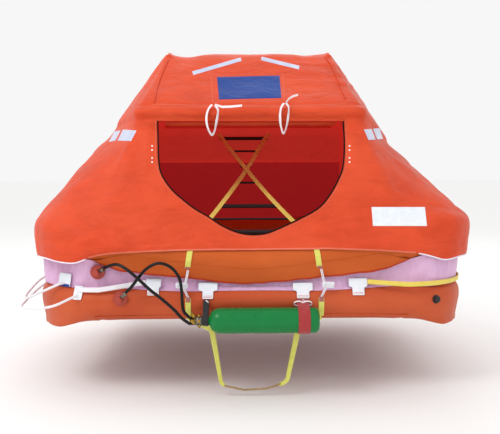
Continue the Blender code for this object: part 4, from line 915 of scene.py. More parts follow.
doorSides = smoothPixels(door["sides"])
doorTop = np.linspace(door["sides"][-1], door["sides"][0], 150)
outline = np.concatenate([doorSides, doorTop])


def inOutline(pixels):
    inside = np.zeros(len(pixels), bool)
    for (x0, y0), (x1, y1) in zip(outline, np.roll(outline, -1, axis=0)):
        if y0 != y1:
            crosses = ((y0 > pixels[:, 1]) != (y1 > pixels[:, 1]))
            inside ^= crosses & (pixels[:, 0] < (x1 - x0) * (pixels[:, 1] - y0) / (y1 - y0) + x0)
    return inside


def cutDoor(points, faces):
    # takes out the faces in the doorway and draws the cut's edge onto the outline, along the sheet itself
    middles = points[faces].mean(axis=1)
    front = ((middles[:, 1] < door["front"]) & (np.abs(middles[:, 0]) < door["half"])
             & (middles[:, 2] < door["high"]))
    gone = np.zeros(len(faces), bool)
    gone[front] = inOutline(inPhoto(middles[front]))
    tree = BVHTree.FromPolygons(points.tolist(), faces[front].tolist())
    kept = faces[~gone]
    edge = np.intersect1d(np.unique(faces[gone]), np.unique(kept))
    for index, pixel in zip(edge, inPhoto(points[edge])):
        x, y = outline[np.argmin(((outline - pixel) ** 2).sum(axis=1))]
        hit = tree.ray_cast(*sightLine(x, y))[0]
        if hit is not None and (hit - Vector(points[index])).length < door["reach"]:
            points[index] = hit
    return points, kept, tree


canopyStations = evenStations(canopy["columns"])
canopyPlaces = foldStations(canopyStations)[0]
skirt = canopySkirt(canopyStations)
canopyGrid = wrinkled(np.stack(skirt + fineRows(canopyRows(canopyStations), canopy["rows"])), canopyStations)


def canopySheet(name, material, off, step, replaces=()):
    # the outer cloth is the whole grid; the lining lies inside it, coarser and without the skirt
    keep = np.isclose(canopyPlaces % 1, 0) | (np.arange(len(canopyStations)) % step == 0)
    rows = np.r_[np.arange(0, len(canopyGrid) - 1, step), len(canopyGrid) - 1]
    rows = rows[0 if step == 1 else len(skirt) // step + 1:]
    part = (canopyGrid - gridNormals(canopyGrid) * off)[rows][:, keep]
    places, count = canopyPlaces[keep], int(keep.sum())
    faces = np.array(gridFaces(len(part), count, wrapColumns=True))
    # above the ear line only the roof's own width goes on to the ridge, so each side keeps its vent
    ear = int(np.searchsorted(rows, len(canopyGrid) - 1 - canopy["rows"][-1]))
    row, column = faces[:, 0] // count, faces[:, 0] % count
    roofOnly = (places[column] < canopy["vent"] + 1e-6) & (places[(column + 1) % count] < canopy["vent"] + 1e-6)
    points, faces, uncut = cutDoor(part.reshape(-1, 3) - below, faces[(row < ear) | roofOnly])
    used, order = np.unique(faces, return_inverse=True)
    piece = addPiece(name, points[used], order.reshape(faces.shape), material,
                     uv=gridMetres(part)[used], replaces=replaces, sharp=180)
    high = canopy["ridgeHeight"] - draft - 0.03

    def closeRidge(shape):
        near = [vertex for vertex in shape.verts if vertex.co.z > high and abs(vertex.co.y) < 0.004]
        bmesh.ops.remove_doubles(shape, verts=near, dist=0.003)
        bmesh.ops.recalc_face_normals(shape, faces=shape.faces)

    sheet = meshWork(piece, closeRidge)
    return BVHTree.FromPolygons(points.tolist(), faces.tolist()), uncut


panels = ["canopy_front", "canopy_rear", "canopy_side_right", "canopy_side_left", "canopy_skirt_right",
          "canopy_skirt_left", "canopy_roof_front", "canopy_roof_rear", "canopy_gable_right", "canopy_gable_left"]
skinTree, uncutTree = canopySheet("canopySkin", canopyNylon, 0.0, 1, panels)
canopySheet("canopyLining", liningNylon, canopy["lining"], 2)


def onSkin(x, y, off):
    # the canopy's place behind a point of the photograph, lifted off the cloth
    start, aim = sightLine(x, y)
    hit, normal = skinTree.ray_cast(start, aim)[:2]
    return None if hit is None else hit + (-normal if normal.dot(aim) > 0 else normal) * off


def allOnSkin(pixels, off):
    return [point for point in (onSkin(x, y, off) for x, y in pixels) if point is not None]


def skinLine(pixels, off, spacing=2.0):
    # a line drawn in the photograph's frame and laid on the canopy
    places = []
    for (x0, y0), (x1, y1) in zip(pixels, pixels[1:]):
        count = max(1, round(math.hypot(x1 - x0, y1 - y0) / spacing))
        places += [(x0 + (x1 - x0) * s / count, y0 + (y1 - y0) * s / count) for s in range(count)]
    return allOnSkin([*places, pixels[-1]], off)


def laidPiece(name, corners, thick, material, size=(16, 6), soften=0.08, off=0.0006):
    # a thin piece stuck to the canopy: its corners are places in the photograph's frame, clockwise from
    # the upper left, and its edges are drawn down onto the cloth
    topLeft, topRight, lowRight, lowLeft = [np.array(corner, float) for corner in corners]
    across = np.r_[0, soften / 4, np.linspace(soften, 1 - soften, size[0] - 1), 1 - soften / 4, 1]
    down = np.r_[0, soften / 2, np.linspace(soften * 2, 1 - soften * 2, size[1] - 1), 1 - soften / 2, 1]
    grid = []
    for v in down:
        for u in across:
            x, y = (topLeft * (1 - u) + topRight * u) * (1 - v) + (lowLeft * (1 - u) + lowRight * u) * v
            edge = u in (0, 1) or v in (0, 1)
            grid.append(onSkin(x, y, off * 0.3 if edge else off + thick))
    if None in grid:
        # its place lies beside the canopy
        print("not laid:", name)
        return
    gridPiece(name, np.array([tuple(point) for point in grid]).reshape(len(down), len(across), 3), material,
              sharp=60)


# door: black vinyl piping sewn round the opening from one end of the bar to the other, and a pale stitched
# line just outside it
piping = {"radius": 0.0036, "off": 0.001, "stitchRadius": 0.0014, "stitchOff": 0.0004, "middle": (250.8, 170.0),
          "apart": 2.6}
edge = [uncutTree.ray_cast(*sightLine(x, y))[0] for x, y in doorSides[::4]]
edge = [point - Vector((0, piping["off"], 0)) for point in edge if point is not None]
roundCord("doorPiping", edge, piping["radius"], blackPiping)
middle = np.array(piping["middle"])
outside = [middle + (pixel - middle) * (1 + piping["apart"] / np.linalg.norm(pixel - middle))
           for pixel in doorSides[::4]]
roundCord("doorStitchLine", allOnSkin(outside, piping["stitchOff"]), piping["stitchRadius"], hemTape,
          sides=8)

# seams and hems: a pale line over the bar, taped hems along the ends, white piping at the corners
trim = {"barSeam": ((153, 104.5), (200, 105.5), (250, 106.5), (300, 106), (346, 104)), "seamOff": 0.0008,
        "seam": (0.0060, 0.0012), "hem": (0.008, 0.0024), "hemRaised": 0.003, "hemPlace": 3.5, "piping": 0.0036}
webbing("barSeamTape", skinLine(trim["barSeam"], trim["seamOff"]), (0, 0, 1), *trim["seam"], hemTape,
        "canopy_cloth")
hemLine = canopyGrid[0] - below
hemUp = canopyGrid[1] - canopyGrid[0]
hemUp /= np.linalg.norm(hemUp, axis=1, keepdims=True)
for which, middle in (("Front", 0), ("Rear", 20)):
    ahead = (canopyStations - middle + 20) % 40
    order = [index for index in np.argsort(ahead)
             if canopyPlaces[index] <= trim["hemPlace"] and abs(ahead[index] - 20) < 5]
    webbing("hemTape" + which, [hemLine[index] + hemUp[index] * trim["hemRaised"] for index in order],
            [hemUp[index] for index in order], *trim["hem"], hemTape, "canopy_cloth")
for which, low, high in (("Right", 3.5, 16.5), ("Left", 23.5, 36.5)):
    chosen = (canopyStations >= low) & (canopyStations <= high)
    roundCord("hemPiping" + which, [Vector(point) for point in hemLine[chosen]], trim["piping"], cornerTape,
              sides=8)

# roof: silver reflective strips and a blank blue plate in its stitching; side tapes and a blank white plate.
# Corners are in the photograph's frame, and the last pair is how many columns and rows.
laid = {"roof": (("roofStripLeft", ((192, 71.5), (240.5, 57.5), (241.5, 61), (193.5, 75)), 0.0005, (22, 4)),
                 ("roofStripRight", ((261.6, 56.7), (299.5, 65.8), (298.8, 69.4), (261.2, 60.2)), 0.0005, (20, 4))),
        "side": (("sideTapeLeft1", ((123, 129.5), (136.5, 130.5), (131, 141), (117.5, 140.5)), 0.0006, (10, 6)),
                 ("sideTapeLeft2", ((114.5, 131.5), (120.8, 130.2), (115.5, 140.5), (109, 142)), 0.0006, (6, 6)),
                 ("sideTapeRight1", ((364, 129.5), (371.5, 128.8), (375.5, 139.5), (368.5, 140)), 0.0006, (6, 6)),
                 ("sideTapeRight2", ((373, 128.6), (379.5, 128.2), (383, 138.8), (377.2, 139.4)), 0.0006, (6, 6))),
        "bluePlate": ((217, 77), (279.5, 75.5), (281.5, 98), (219, 99.5)),
        "plateEdge": ((211, 75.5), (282.5, 73.5), (284.5, 101), (213, 102.5), (211, 75.5)),
        "stitching": (0.0028, 0.0010), "stitchingOff": 0.0006, "welt": 0.0042, "weltOff": 0.0022,
        "namePlate": ((371.5, 207), (425, 207), (427, 226), (373, 226)),
        "welts": (("Left", ((168, 60), (164, 69), (160, 79), (156.5, 90), (154, 103))),
                  ("Right", ((325.5, 57), (331, 65), (336.5, 77), (341.5, 89), (345.5, 99)))),
        "stitches": (("Left", 152.2), ("Right", 349.6)), "stitchRows": (145.2, 149.4, 157.2, 161.4)}
for name, corners, thick, size in laid["roof"]:
    laidPiece(name, corners, thick, silverTape, size)
laidPiece("bluePlate", laid["bluePlate"], 0.0010, blueVinyl, (26, 12), 0.04)
for index, ends in enumerate(zip(laid["plateEdge"], laid["plateEdge"][1:])):
    webbing("plateStitching" + str(index), skinLine(ends, laid["stitchingOff"]), (index % 2, 0, 1 - index % 2),
            *laid["stitching"], hemTape, "canopy_cloth")
for name, corners, thick, size in laid["side"]:
    laidPiece(name, corners, thick, silverTape, size)
laidPiece("namePlate", laid["namePlate"], 0.0012, patchVinyl, (26, 10), 0.04)
for side, line in laid["welts"]:
    roundCord("roofWelt" + side, smoothLine(skinLine(line, laid["weltOff"]), 0.008), laid["welt"], canopyNylon,
              sides=10)
for side, x in laid["stitches"]:
    for index, y in enumerate(laid["stitchRows"]):
        laidPiece("stitch" + side + str(index), ((x - 0.9, y), (x + 0.7, y), (x + 0.7, y + 1.5), (x - 0.9, y + 1.5)),
                  0.0006, whiteWebbing, (3, 3))
print("canopy made")

# Curtain: the door's sheet rolled up under the bar, with two white ribbon ties round it.
roll = {"half": 0.42, "y": -0.4173, "z": 0.9123, "inner": 0.006, "outer": 0.0172, "turns": 2.6}
along = np.linspace(-roll["half"], roll["half"], 120)
loose = 1 + 0.045 * np.sin(along * 21 + 1.0) + 0.03 * np.sin(along * 47)
grid = []
for share in np.linspace(0, 1, 90):
    angle = 2 * math.pi * roll["turns"] * share - math.pi / 2
    radius = (roll["inner"] + (roll["outer"] - roll["inner"]) * share) * loose
    grid.append(np.stack([along, roll["y"] + radius * math.cos(angle), roll["z"] + radius * math.sin(angle)], -1))
grid = np.stack(grid)
length = np.linalg.norm(np.diff(grid, axis=0), axis=2).sum(axis=0).mean()
piece = gridPiece("curtainRoll", grid - below, canopyNylon, replaces=["door_curtain_roll"])

# the ties hang in front of the roll; their loops and tails are drawn in the photograph's frame
tieTape = {"depth": -0.5125, "bulge": 0.006, "loop": (0.0135, 0.0012), "tail": (0.012, 0.0012), "tailOff": 0.003}
ties = {"Left": {"loop": ((212, 104.5), (208.5, 109), (206.5, 116), (206.8, 124), (209, 131), (212, 135),
                          (214.6, 131), (216, 124), (217.5, 116), (218, 110), (215, 105)),
                 "tail": ((215, 105.5), (222, 107.5), (231, 107.2), (242, 106.2))},
        "Right": {"loop": ((284, 103), (281, 108), (280, 116), (280.5, 124), (281.8, 130), (283.5, 133.5),
                           (285.5, 130), (287.2, 123), (288.5, 114), (288.6, 107), (286, 103)),
                  "tail": ((286, 103.5), (289, 99.5), (293, 97), (298, 95.5))}}
for side, tie in ties.items():
    loop = smoothLine([atDepth(x, y, tieTape["depth"] - tieTape["bulge"] * math.sin(math.pi * i / 10))
                       for i, (x, y) in enumerate(tie["loop"])], 0.004)
    centre = sum(loop, Vector()) / len(loop)
    ways = [((point - centre) * Vector((1, 0, 1))).normalized() * 0.8 + Vector((0, 0.6, 0)) for point in loop]
    webbing("curtainTie" + side, loop, ways, *tieTape["loop"], whiteWebbing, "white_webbing",
            replaces=["curtain_tie_" + side.lower()])
    webbing("curtainTieTail" + side, smoothLine(skinLine(tie["tail"], tieTape["tailOff"]), 0.006), (0, 0.2, 1),
            *tieTape["tail"], whiteWebbing, "white_webbing")


# Arches inside the cloth: inflated tubes with a flat foot on the upper tube.
def roundCorners(points, radius, steps):
    points = [Vector(point) for point in points]
    route = [points[0]]
    for before, corner, after in zip(points, points[1:], points[2:]):
        entry, leave = (before - corner).normalized(), (after - corner).normalized()
        half = entry.angle(leave) / 2
        middle = corner + (entry + leave).normalized() * radius / math.sin(half)
        first = corner + entry * radius / math.tan(half) - middle
        final = corner + leave * radius / math.tan(half) - middle
        route += [middle + first.slerp(final, step / steps).normalized() * radius for step in range(steps + 1)]
    return [*route, points[-1]]


def divided(route, spacing):
    # more points on the straight runs, so that smooth shading has something to go on
    fine = [route[0]]
    for a, b in zip(route, route[1:]):
        count = max(1, round((b - a).length / spacing))
        fine += [a.lerp(b, step / count) for step in range(1, count + 1)]
    return fine


arches = {"centre": ((-0.8960, 0, 0.4137), (-0.6740, 0, 0.8900), (-0.4226, 0, 1.2400), (0.4199, 0, 1.2400),
                     (0.7104, 0, 0.8031), (0.8940, 0, 0.4137)), "radius": 0.042, "endRadius": 0.036, "bend": 0.09,
          "endBend": 0.030, "spacing": 0.03,
          "end": ((0.49, 0.6897, 0.4163), (0.49, 0.443, 0.8935), (0.49, 0.455, 0.950))}
roundCord("centreArch", lift(divided(roundCorners(arches["centre"], arches["bend"], 10), arches["spacing"])),
          arches["radius"], archRubber, replaces=["arch_centre"], sides=40)
for which, end in (("front", -1), ("rear", 1)):
    points = [(-x, end * y, z) for x, y, z in arches["end"]] + [(x, end * y, z) for x, y, z in arches["end"][::-1]]
    roundCord(which + "EndArch", lift(divided(roundCorners(points, arches["endBend"], 8), arches["spacing"])),
              arches["endRadius"], archRubber, replaces=["arch_" + which], sides=36)
print("curtain, ties and arches made")

# Inner ladder: two straps crossed from the sill to the rear bar, and its rungs. Each rung is its share of the
# way up, its thickness, its depth and its node.
inner = {"sill": (0.262, -0.690, 0.3720), "head": (0.165, 0.4264, 0.9214), "shift": -0.030, "width": 0.026,
         "thick": 0.003, "sag": 0.030, "apart": 0.0045,
         "rungs": ((0.05, 0.010, 0.026, "inner_rung_1"), (0.16, 0.006, 0.012, ""),
                   (0.28, 0.010, 0.026, "inner_rung_2"), (0.50, 0.006, 0.014, ""), (0.66, 0.007, 0.018, ""),
                   (0.80, 0.006, 0.014, ""), (0.93, 0.010, 0.026, "inner_rung_3"))}


def innerPoint(side, share):
    (sillX, sillY, sillZ), (headX, headY, headZ) = inner["sill"], inner["head"]
    run = Vector((side * sillX, sillY, sillZ)).lerp(Vector((inner["shift"] - side * headX, headY, headZ)), share)
    nearness = ridge(share, sillX / (sillX + headX), 0.14)
    return run + Vector((0, 0, side * inner["apart"] * nearness - inner["sag"] * math.sin(math.pi * share)))


for side, name in ((-1, "Left"), (1, "Right")):
    webbing("innerStrap" + name, lift([innerPoint(side, step / 60) for step in range(61)]), (1, 0, 0), inner["width"],
            inner["thick"], yellowWebbing, "yellow_webbing", replaces=["inner_strap_" + name.lower()])
for index, (share, thick, deep, node) in enumerate(inner["rungs"]):
    left, right = innerPoint(-1, share), innerPoint(1, share)
    slope = innerPoint(1, share + 0.03) - innerPoint(1, share - 0.03)
    slope.x = 0
    slope.normalize()
    drop = Vector((0, slope.z, -slope.y)) * (thick / 2 + 0.0022)
    route = evenly(min(left.x, right.x) - 0.012, max(left.x, right.x) + 0.012, 13,
                   lambda x: Vector((x, left.y, left.z)) + drop)
    webbing("innerRung" + str(index), lift(route), slope, deep, thick, rungFoam, "black_rubber",
            replaces=[node] if node else ())

# the rear wall's inner cloth hangs in two tiers in front of the arch's legs: a bright one from the bar, and one below
# it that starts a little further forward, whose darker colour is painted shade; both glow with painted light. Each is
# how far forward, its top and its foot.
tiers = {"half": 0.560, "spread": 0.08, "columns": 60, "rows": 16, "front": 0.399, "slope": 0.517, "bend": 0.8935,
         "cloths": (("rearTierUpper", 0.000, 0.935, 0.700, liningNylon),
                    ("rearTierLower", 0.012, 0.725, 0.352, shadeTierNylon))}
for name, forward, high, low, material in tiers["cloths"]:
    x, z = np.meshgrid(np.linspace(-1, 1, tiers["columns"]), np.linspace(low, high, tiers["rows"]))
    y = tiers["front"] - forward + tiers["slope"] * np.maximum(0, tiers["bend"] - z)
    grid = np.stack([x * (tiers["half"] + tiers["spread"] * (0.935 - z)), y, z - draft], -1)
    grid[..., 1] -= 0.004 * (1 + noiseOver(grid, (7, 2, 2), forward * 400)) + 0.005 * ridge(z, low + 0.02, 0.014)
    hung = gridPiece(name, grid, material, sharp=180)


def softBlock(name, low, high, square, material, lumps, replaces, sides=48, rows=25):
    # a stuffed block: a rounded box that swells between its corners
    middle, half = (np.array(low) + high) / 2, (np.array(high) - low) / 2
    points, uv = [], []
    for row in range(rows):
        tilt = math.pi * (row / (rows - 1) - 0.5)
        for side in range(sides):
            turn = 2 * math.pi * side / sides
            aim = np.array([math.cos(tilt) * math.cos(turn), math.cos(tilt) * math.sin(turn), math.sin(tilt)])
            point = aim * (np.abs(aim) ** square).sum() ** (-1 / square)
            bump = 1 + lumps * noise.noise(Vector(point * 1.7) + Vector((sum(low) * 7, 0, 0)))
            points.append(middle + half * point * min(bump, 1.0))
            uv.append((turn * half[0], tilt * half[2]))
    piece = addPiece(name, lift(points), gridFaces(rows, sides, wrapColumns=True), material, uv=uv,
                     replaces=replaces, sharp=180)
    meshWork(piece, lambda shape: bmesh.ops.remove_doubles(shape, verts=shape.verts, dist=0.0002))
    outwardFaces(piece)


# a small rose vinyl bag hangs from the rear bar by its handle, filled enough to stay square
pouch = {"low": (-0.085, 0.430, 0.8707), "high": (0.070, 0.460, 0.9147), "square": 5.0, "lumps": 0.10,
         "fill": 0.6, "handle": (0.008, 0.0020)}
softBlock("roseBag", pouch["low"], pouch["high"], pouch["square"], pouchCloth, pouch["lumps"],
          ["equipment_pouch"])
handle = evenly(0, 1, 16, lambda t: (-0.030 + 0.05 * t, 0.428 - 0.006 * math.sin(math.pi * t),
                                     0.905 + 0.014 * math.sin(math.pi * t)))
webbing("roseBagHandle", lift(handle), (0, 0.3, 1), *pouch["handle"], blackWebbing, "black_rubber")
print("inner ladder and bag made")

# Floor: one coated sheet welded inside the lower tube, pushed up a little in the middle.
floorSheet = {"low": 0.0075, "thick": 0.003, "rise": 0.008, "rings": 26, "degrees": 238.0, "ripple": 0.0025}


def buildFloor():
    stations = evenStations(60)
    edge = onTube(stations, False, floorSheet["degrees"], 0.0004)
    rows = []
    for share in np.linspace(1, 0.02, floorSheet["rings"]):
        row, up = edge * share, ramp(share, 0.93, 1.0)
        row[:, 2] = edge[:, 2] * up + (floorSheet["low"] + floorSheet["rise"] * (1 - share ** 4)) * (1 - up)
        rows.append(row)
    grid = np.stack(rows)
    flat = 1 - np.linspace(1, 0, len(rows))[:, None] ** 6
    grid[..., 2] += floorSheet["ripple"] * noiseOver(grid, (7, 7, 1), 2.0) * flat
    shell = np.concatenate([grid, (grid + np.array([0, 0, floorSheet["thick"]]))[::-1]])
    piece = gridPiece("floorSheet", shell - below, floorCloth, True, True, ["floor"], 180)


buildFloor()


# Patches: an outline with round corners, four rings deep, so that its face has a soft edge.
patch = {"thick": 0.003, "round": 0.008, "teeRound": 0.005, "stitch": (0.0016, 0.0008), "blueEdge": (0.012, 0.0012)}


def roundedOutline(points, radius, steps=4):
    rounded = []
    for index, corner in enumerate(points):
        around = (corner, points[index - 1], points[(index + 1) % len(points)])
        corner, before, after = (Vector((*point, 0)) for point in around)
        first, last = (corner + (other - corner).normalized() * min(radius, (other - corner).length * 0.45)
                       for other in (before, after))
        for step in range(steps + 1):
            t = step / steps
            rounded.append(first * (1 - t) ** 2 + corner * 2 * t * (1 - t) + last * t * t)
    return rounded


def slab(name, outlinePoints, place, replaces, radius):
    # a white patch; place puts a point of its outline, and how deep it is, on the tube
    line = roundedOutline(outlinePoints, radius)
    count = len(line)
    turning = sum(a.x * b.y - b.x * a.y for a, b in zip(line, line[1:] + line[:1]))
    points, uv = [], []
    for depth, inset in ((0.0, 0.0006), (0.55, 0.0), (0.9, 0.0005), (1.0, 0.0016)):
        for index, point in enumerate(line):
            along = (line[(index + 1) % count] - line[index - 1]).normalized()
            spot = point + Vector((-along.y, along.x, 0)) * (inset if turning > 0 else -inset)
            points.append(place(spot.x, spot.y, depth * patch["thick"]))
            uv.append((spot.x, spot.y))
    faces = capped(gridFaces(4, count, wrapColumns=True), 4, count)
    outwardFaces(addPiece(name, points, faces, patchVinyl, "raft", uv, [replaces], sharp=50))


# four T-shaped patches along the front: middle, top, foot, half the bar's width and half the stem's
tees = ((-0.446, 0.190, 0.119, 0.034, 0.026), (-0.200, 0.172, 0.104, 0.043, 0.024),
        (0.228, 0.169, 0.104, 0.045, 0.028), (0.479, 0.187, 0.115, 0.042, 0.027))
for index, (middle, high, low, halfBar, halfStem) in enumerate(tees, 1):
    node, name = "tee_patch_" + str(index), "teePatch" + str(index)
    front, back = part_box(node)[0][1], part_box(node)[1][1]
    slope = (back - front - 0.0033) / (high - low)
    step = high - 0.48 * (high - low)

    def onFront(x, z, depth):
        return Vector((middle + x, front + 0.0033 + slope * (z - low) - depth * 1.1, z - draft))

    shape = [(-halfBar, high), (halfBar, high), (halfBar, step), (halfStem, step - 0.004), (halfStem, low),
             (-halfStem, low), (-halfStem, step - 0.004), (-halfBar, step)]
    slab(name, shape, onFront, node, patch["teeRound"])
    # the stem is stitched twice across
    for drop in (0.006, 0.012):
        line = evenly(-halfStem + 0.004, halfStem - 0.004, 12,
                      lambda x: onFront(x, low + drop, patch["thick"] + 0.0004))
        webbing(name + "Stitch" + str(int(drop * 1000)), line, (0, 0, 1), *patch["stitch"], hemTape, "patch_cloth")

# the lifelines' patches round the sides: station, reach at the foot and the top, foot, top and half width
linePatches = (("right_front", 9, 0.1033, 0.1033, 0.072, 0.185, 0.045),
               ("right_rear", 11, 0.1033, 0.1033, 0.072, 0.185, 0.045),
               ("left_rear", 29, 0.1033, 0.1033, 0.072, 0.185, 0.045),
               ("left_front", 31, 0.1033, 0.1033, 0.072, 0.185, 0.045),
               ("corner", 35, 0.0750, 0.0618, 0.150, 0.210, 0.040),
               ("front_left", 36, 0.1010, 0.0756, 0.100, 0.160, 0.022))
for words, station, lowReach, highReach, low, high, half in linePatches:
    centre, out = (Vector(row[0]) for row in ringPlaces([station]))

    def onSide(x, z, depth):
        reach = lowReach + (highReach - lowReach) * (z - low) / (high - low) - patch["thick"] + depth
        return centre + out * reach + Vector((-out.y, out.x, 0)) * x + Vector((0, 0, z - draft))

    slab("linePatch" + words.title().replace("_", ""), [(-half, low), (half, low), (half, high), (-half, high)],
         onSide, "line_patch_" + words, patch["round"])
    if words == "corner":
        route = evenly(-half + 0.003, half - 0.003, 14, lambda x: onSide(x, low + 0.006, 0.0034))
        webbing("cornerPatchBlueEdge", route, (0, 0, 1), *patch["blueEdge"], blueVinyl, "patch_cloth")
print("floor and patches made")

# Boarding ladder: straps on the upper tube, box stitching, white lashings over the band, straps below.
ladder = {"pin": (-0.782, 0.020), "half": 0.288, "shift": 0.022, "strap": (0.025, 0.003), "stitch": (0.021, 0.0016),
          "lashing": 0.0026, "knot": 0.0026, "stepThick": 0.0022, "cord": 0.0042, "cordFrom": -0.292,
          "step": ((-0.288, 0, 0.0198), (-0.184, 0, -0.040), (-0.143, 0, -0.286), (-0.126, 0, -0.300),
                   (-0.040, 0, -0.320), (0.065, 0, -0.314), (0.140, 0, -0.290), (0.158, 0, -0.274),
                   (0.206, 0, -0.044), (0.310, 0, 0.0198))}


def onFrontTube(x, upper, degrees, off):
    station = abs(x) / 0.25 if x > 0 else 40 - abs(x) / 0.25
    return Vector(onTube([station], upper, degrees, off)[0] - below)


for side, word in ((-1, "Left"), (1, "Right")):
    shift = ladder["shift"] if side > 0 else 0.0
    x = side * (ladder["half"] + shift)
    run = evenly(0, 1, 22, lambda t: onFrontTube(side * (0.272 + shift * 0.5 + 0.018 * t), True, 47 - 75 * t, 0.0024))
    webbing("ladderStrapUpper" + word, run, (1, 0, 0), *ladder["strap"], paleYellowWebbing, "yellow_webbing",
            replaces=["ladder_strap_" + word.lower()])
    run = evenly(-24, -37, 8, lambda degrees: onFrontTube(side * (0.290 + shift * 0.6), True, degrees, 0.0052))
    webbing("ladderStitchUpper" + word, run, (1, 0, 0), *ladder["stitch"], redStitching, "red_webbing")
    for lash, letter in ((-0.003, "A"), (0.003, "B")):
        low = onFrontTube(x + lash, False, 20, 0.005)
        run = [onFrontTube(x + lash, True, -34, 0.006),
               *[Vector((x + lash + side * out, y, z - draft)) for out, y, z in
                 ((0.010, -0.8060, 0.182), (0.020, -0.8100, 0.166), (0.010, -0.8080, 0.135))], low]
        roundCord("ladderLashing" + word + letter, smoothLine(run, 0.005), ladder["lashing"], whiteWebbing,
                  sides=10)
    run = evenly(18, -24, 12, lambda degrees: onFrontTube(x, False, degrees, 0.0019))
    run += [Vector((x, ladder["pin"][0] - 0.0045, ladder["pin"][1] + 0.012 - draft)),
            Vector((x, ladder["pin"][0], ladder["pin"][1] + 0.0006 - draft))]
    webbing("ladderStrapLower" + word, run, (1, 0, 0), *ladder["strap"], paleYellowWebbing, "yellow_webbing")
    run = evenly(20, 6, 8, lambda degrees: onFrontTube(x, False, degrees, 0.0042))
    webbing("ladderStitchLower" + word, run, (1, 0, 0), *ladder["stitch"], redStitching, "red_webbing")
    # a small white patch with the line's knot on it, beside each strap
    middle = -0.316 if side < 0 else 0.340

    def onAnchor(x, z, depth):
        return Vector((middle + x, -0.8042 - depth, z - draft))

    slab("ladderAnchor" + word, [(-0.027, 0.152), (0.027, 0.150), (0.027, 0.178), (-0.027, 0.180)], onAnchor,
         "ladder_anchor_" + word.lower(), patch["round"])
    knot = evenly(0.2, 2 * math.pi, 40, lambda t: onAnchor(0.020 * math.cos(t) * (1 - 0.3 * math.sin(2 * t)),
                                                           0.165 + 0.008 * math.sin(2 * t),
                                                           0.0055 + 0.002 * math.cos(3 * t)))
    roundCord("anchorKnot" + word, knot, ladder["knot"], whiteWebbing, sides=8)

stepRoute = divided(roundCorners(ladder["step"], 0.018, 6), 0.008)
stepRoute = [point + Vector((0, ladder["pin"][0], -draft)) for point in stepRoute]
lowPart = [index for index, point in enumerate(stepRoute) if point.z < ladder["cordFrom"] - draft]


def stepWidth(share):
    return 0.029 - 0.010 * share


def stepWays(route, turn):
    # the strap lies flat where it hinges and turns a little edge-on towards the cord
    ways = []
    for index in range(len(route)):
        along = (route[min(index + 1, len(route) - 1)] - route[max(index - 1, 0)]).normalized()
        angle = turn * index / (len(route) - 1)
        ways.append(along.cross(Vector((0, 1, 0))) * math.cos(angle) + Vector((0, 1, 0)) * math.sin(angle))
    return ways


for word, route, turn, nodes in (("Left", stepRoute[:lowPart[0] + 2], 0.7, ["boarding_ladder"]),
                                 ("Right", stepRoute[lowPart[-1] - 1:][::-1], -0.8, ())):
    webbing("stepStrap" + word, route, stepWays(route, turn), stepWidth, ladder["stepThick"], paleYellowWebbing,
            "yellow_webbing", "ladder", nodes)
roundCord("stepCord", stepRoute[lowPart[0]:lowPart[-1] + 1], ladder["cord"], goldCord, "ladder",
          sides=10)
print("ladder made")

# Cylinder: steel drawn to a dome at the neck and rounded at its foot, enamelled green. Profiles are (distance
# along the axis, radius).
bottle = {"y": -0.860, "z": 0.018, "radius": 0.056, "left": -0.188, "length": 0.480,
          "neck": ((-0.034, 0.0175), (-0.028, 0.0180), (-0.006, 0.0185), (-0.002, 0.0205)),
          "head": ((0.0, 0.0150), (0.002, 0.0185), (0.006, 0.0205), (0.009, 0.0222), (0.013, 0.0222), (0.014, 0.0180),
                   (0.020, 0.0180), (0.021, 0.0222), (0.027, 0.0222), (0.0292, 0.0200)),
          "port": ((0, 0.0065), (0.006, 0.0065), (0.007, 0.0052), (0.010, 0.0052), (0.011, 0.0030))}
quarter, length = math.pi / 2, bottle["length"]
profile = list(bottle["neck"])
profile += [(0.050 * (1 - math.cos(quarter * step / 16)), 0.0205 + 0.0355 * math.sin(quarter * step / 16))
            for step in range(1, 17)]
profile += [(x, bottle["radius"]) for x in np.linspace(0.09, length - 0.030, 8)]
profile += [(length - 0.022 + 0.022 * math.sin(quarter * step / 12), 0.034 + 0.022 * math.cos(quarter * step / 12))
            for step in range(1, 13)]
turned("gasBottle", profile, (bottle["left"], bottle["y"], bottle["z"] - draft), (1, 0, 0), greenEnamel,
       "green_paint", "cylinder", ["gas_cylinder"], sides=120, sharp=50)
turned("valveBody", bottle["head"], (-0.252, bottle["y"], bottle["z"] - draft), (1, 0, 0), nickelBrass, "valve_brass",
       "cylinder", ["valve_head"], sides=36, ribs=18, ribDepth=0.0012)
for name, y, z, way in (("Front", -0.880, 0.020, (0, -1, 0.2)), ("Top", -0.862, 0.038, (0, -0.2, 1)),
                        ("Low", -0.862, -0.002, (0, -0.3, -1))):
    turned("valvePort" + name, bottle["port"], (-0.236, y, z - draft), way, goldBrass, "valve_brass", "cylinder",
           sides=20)

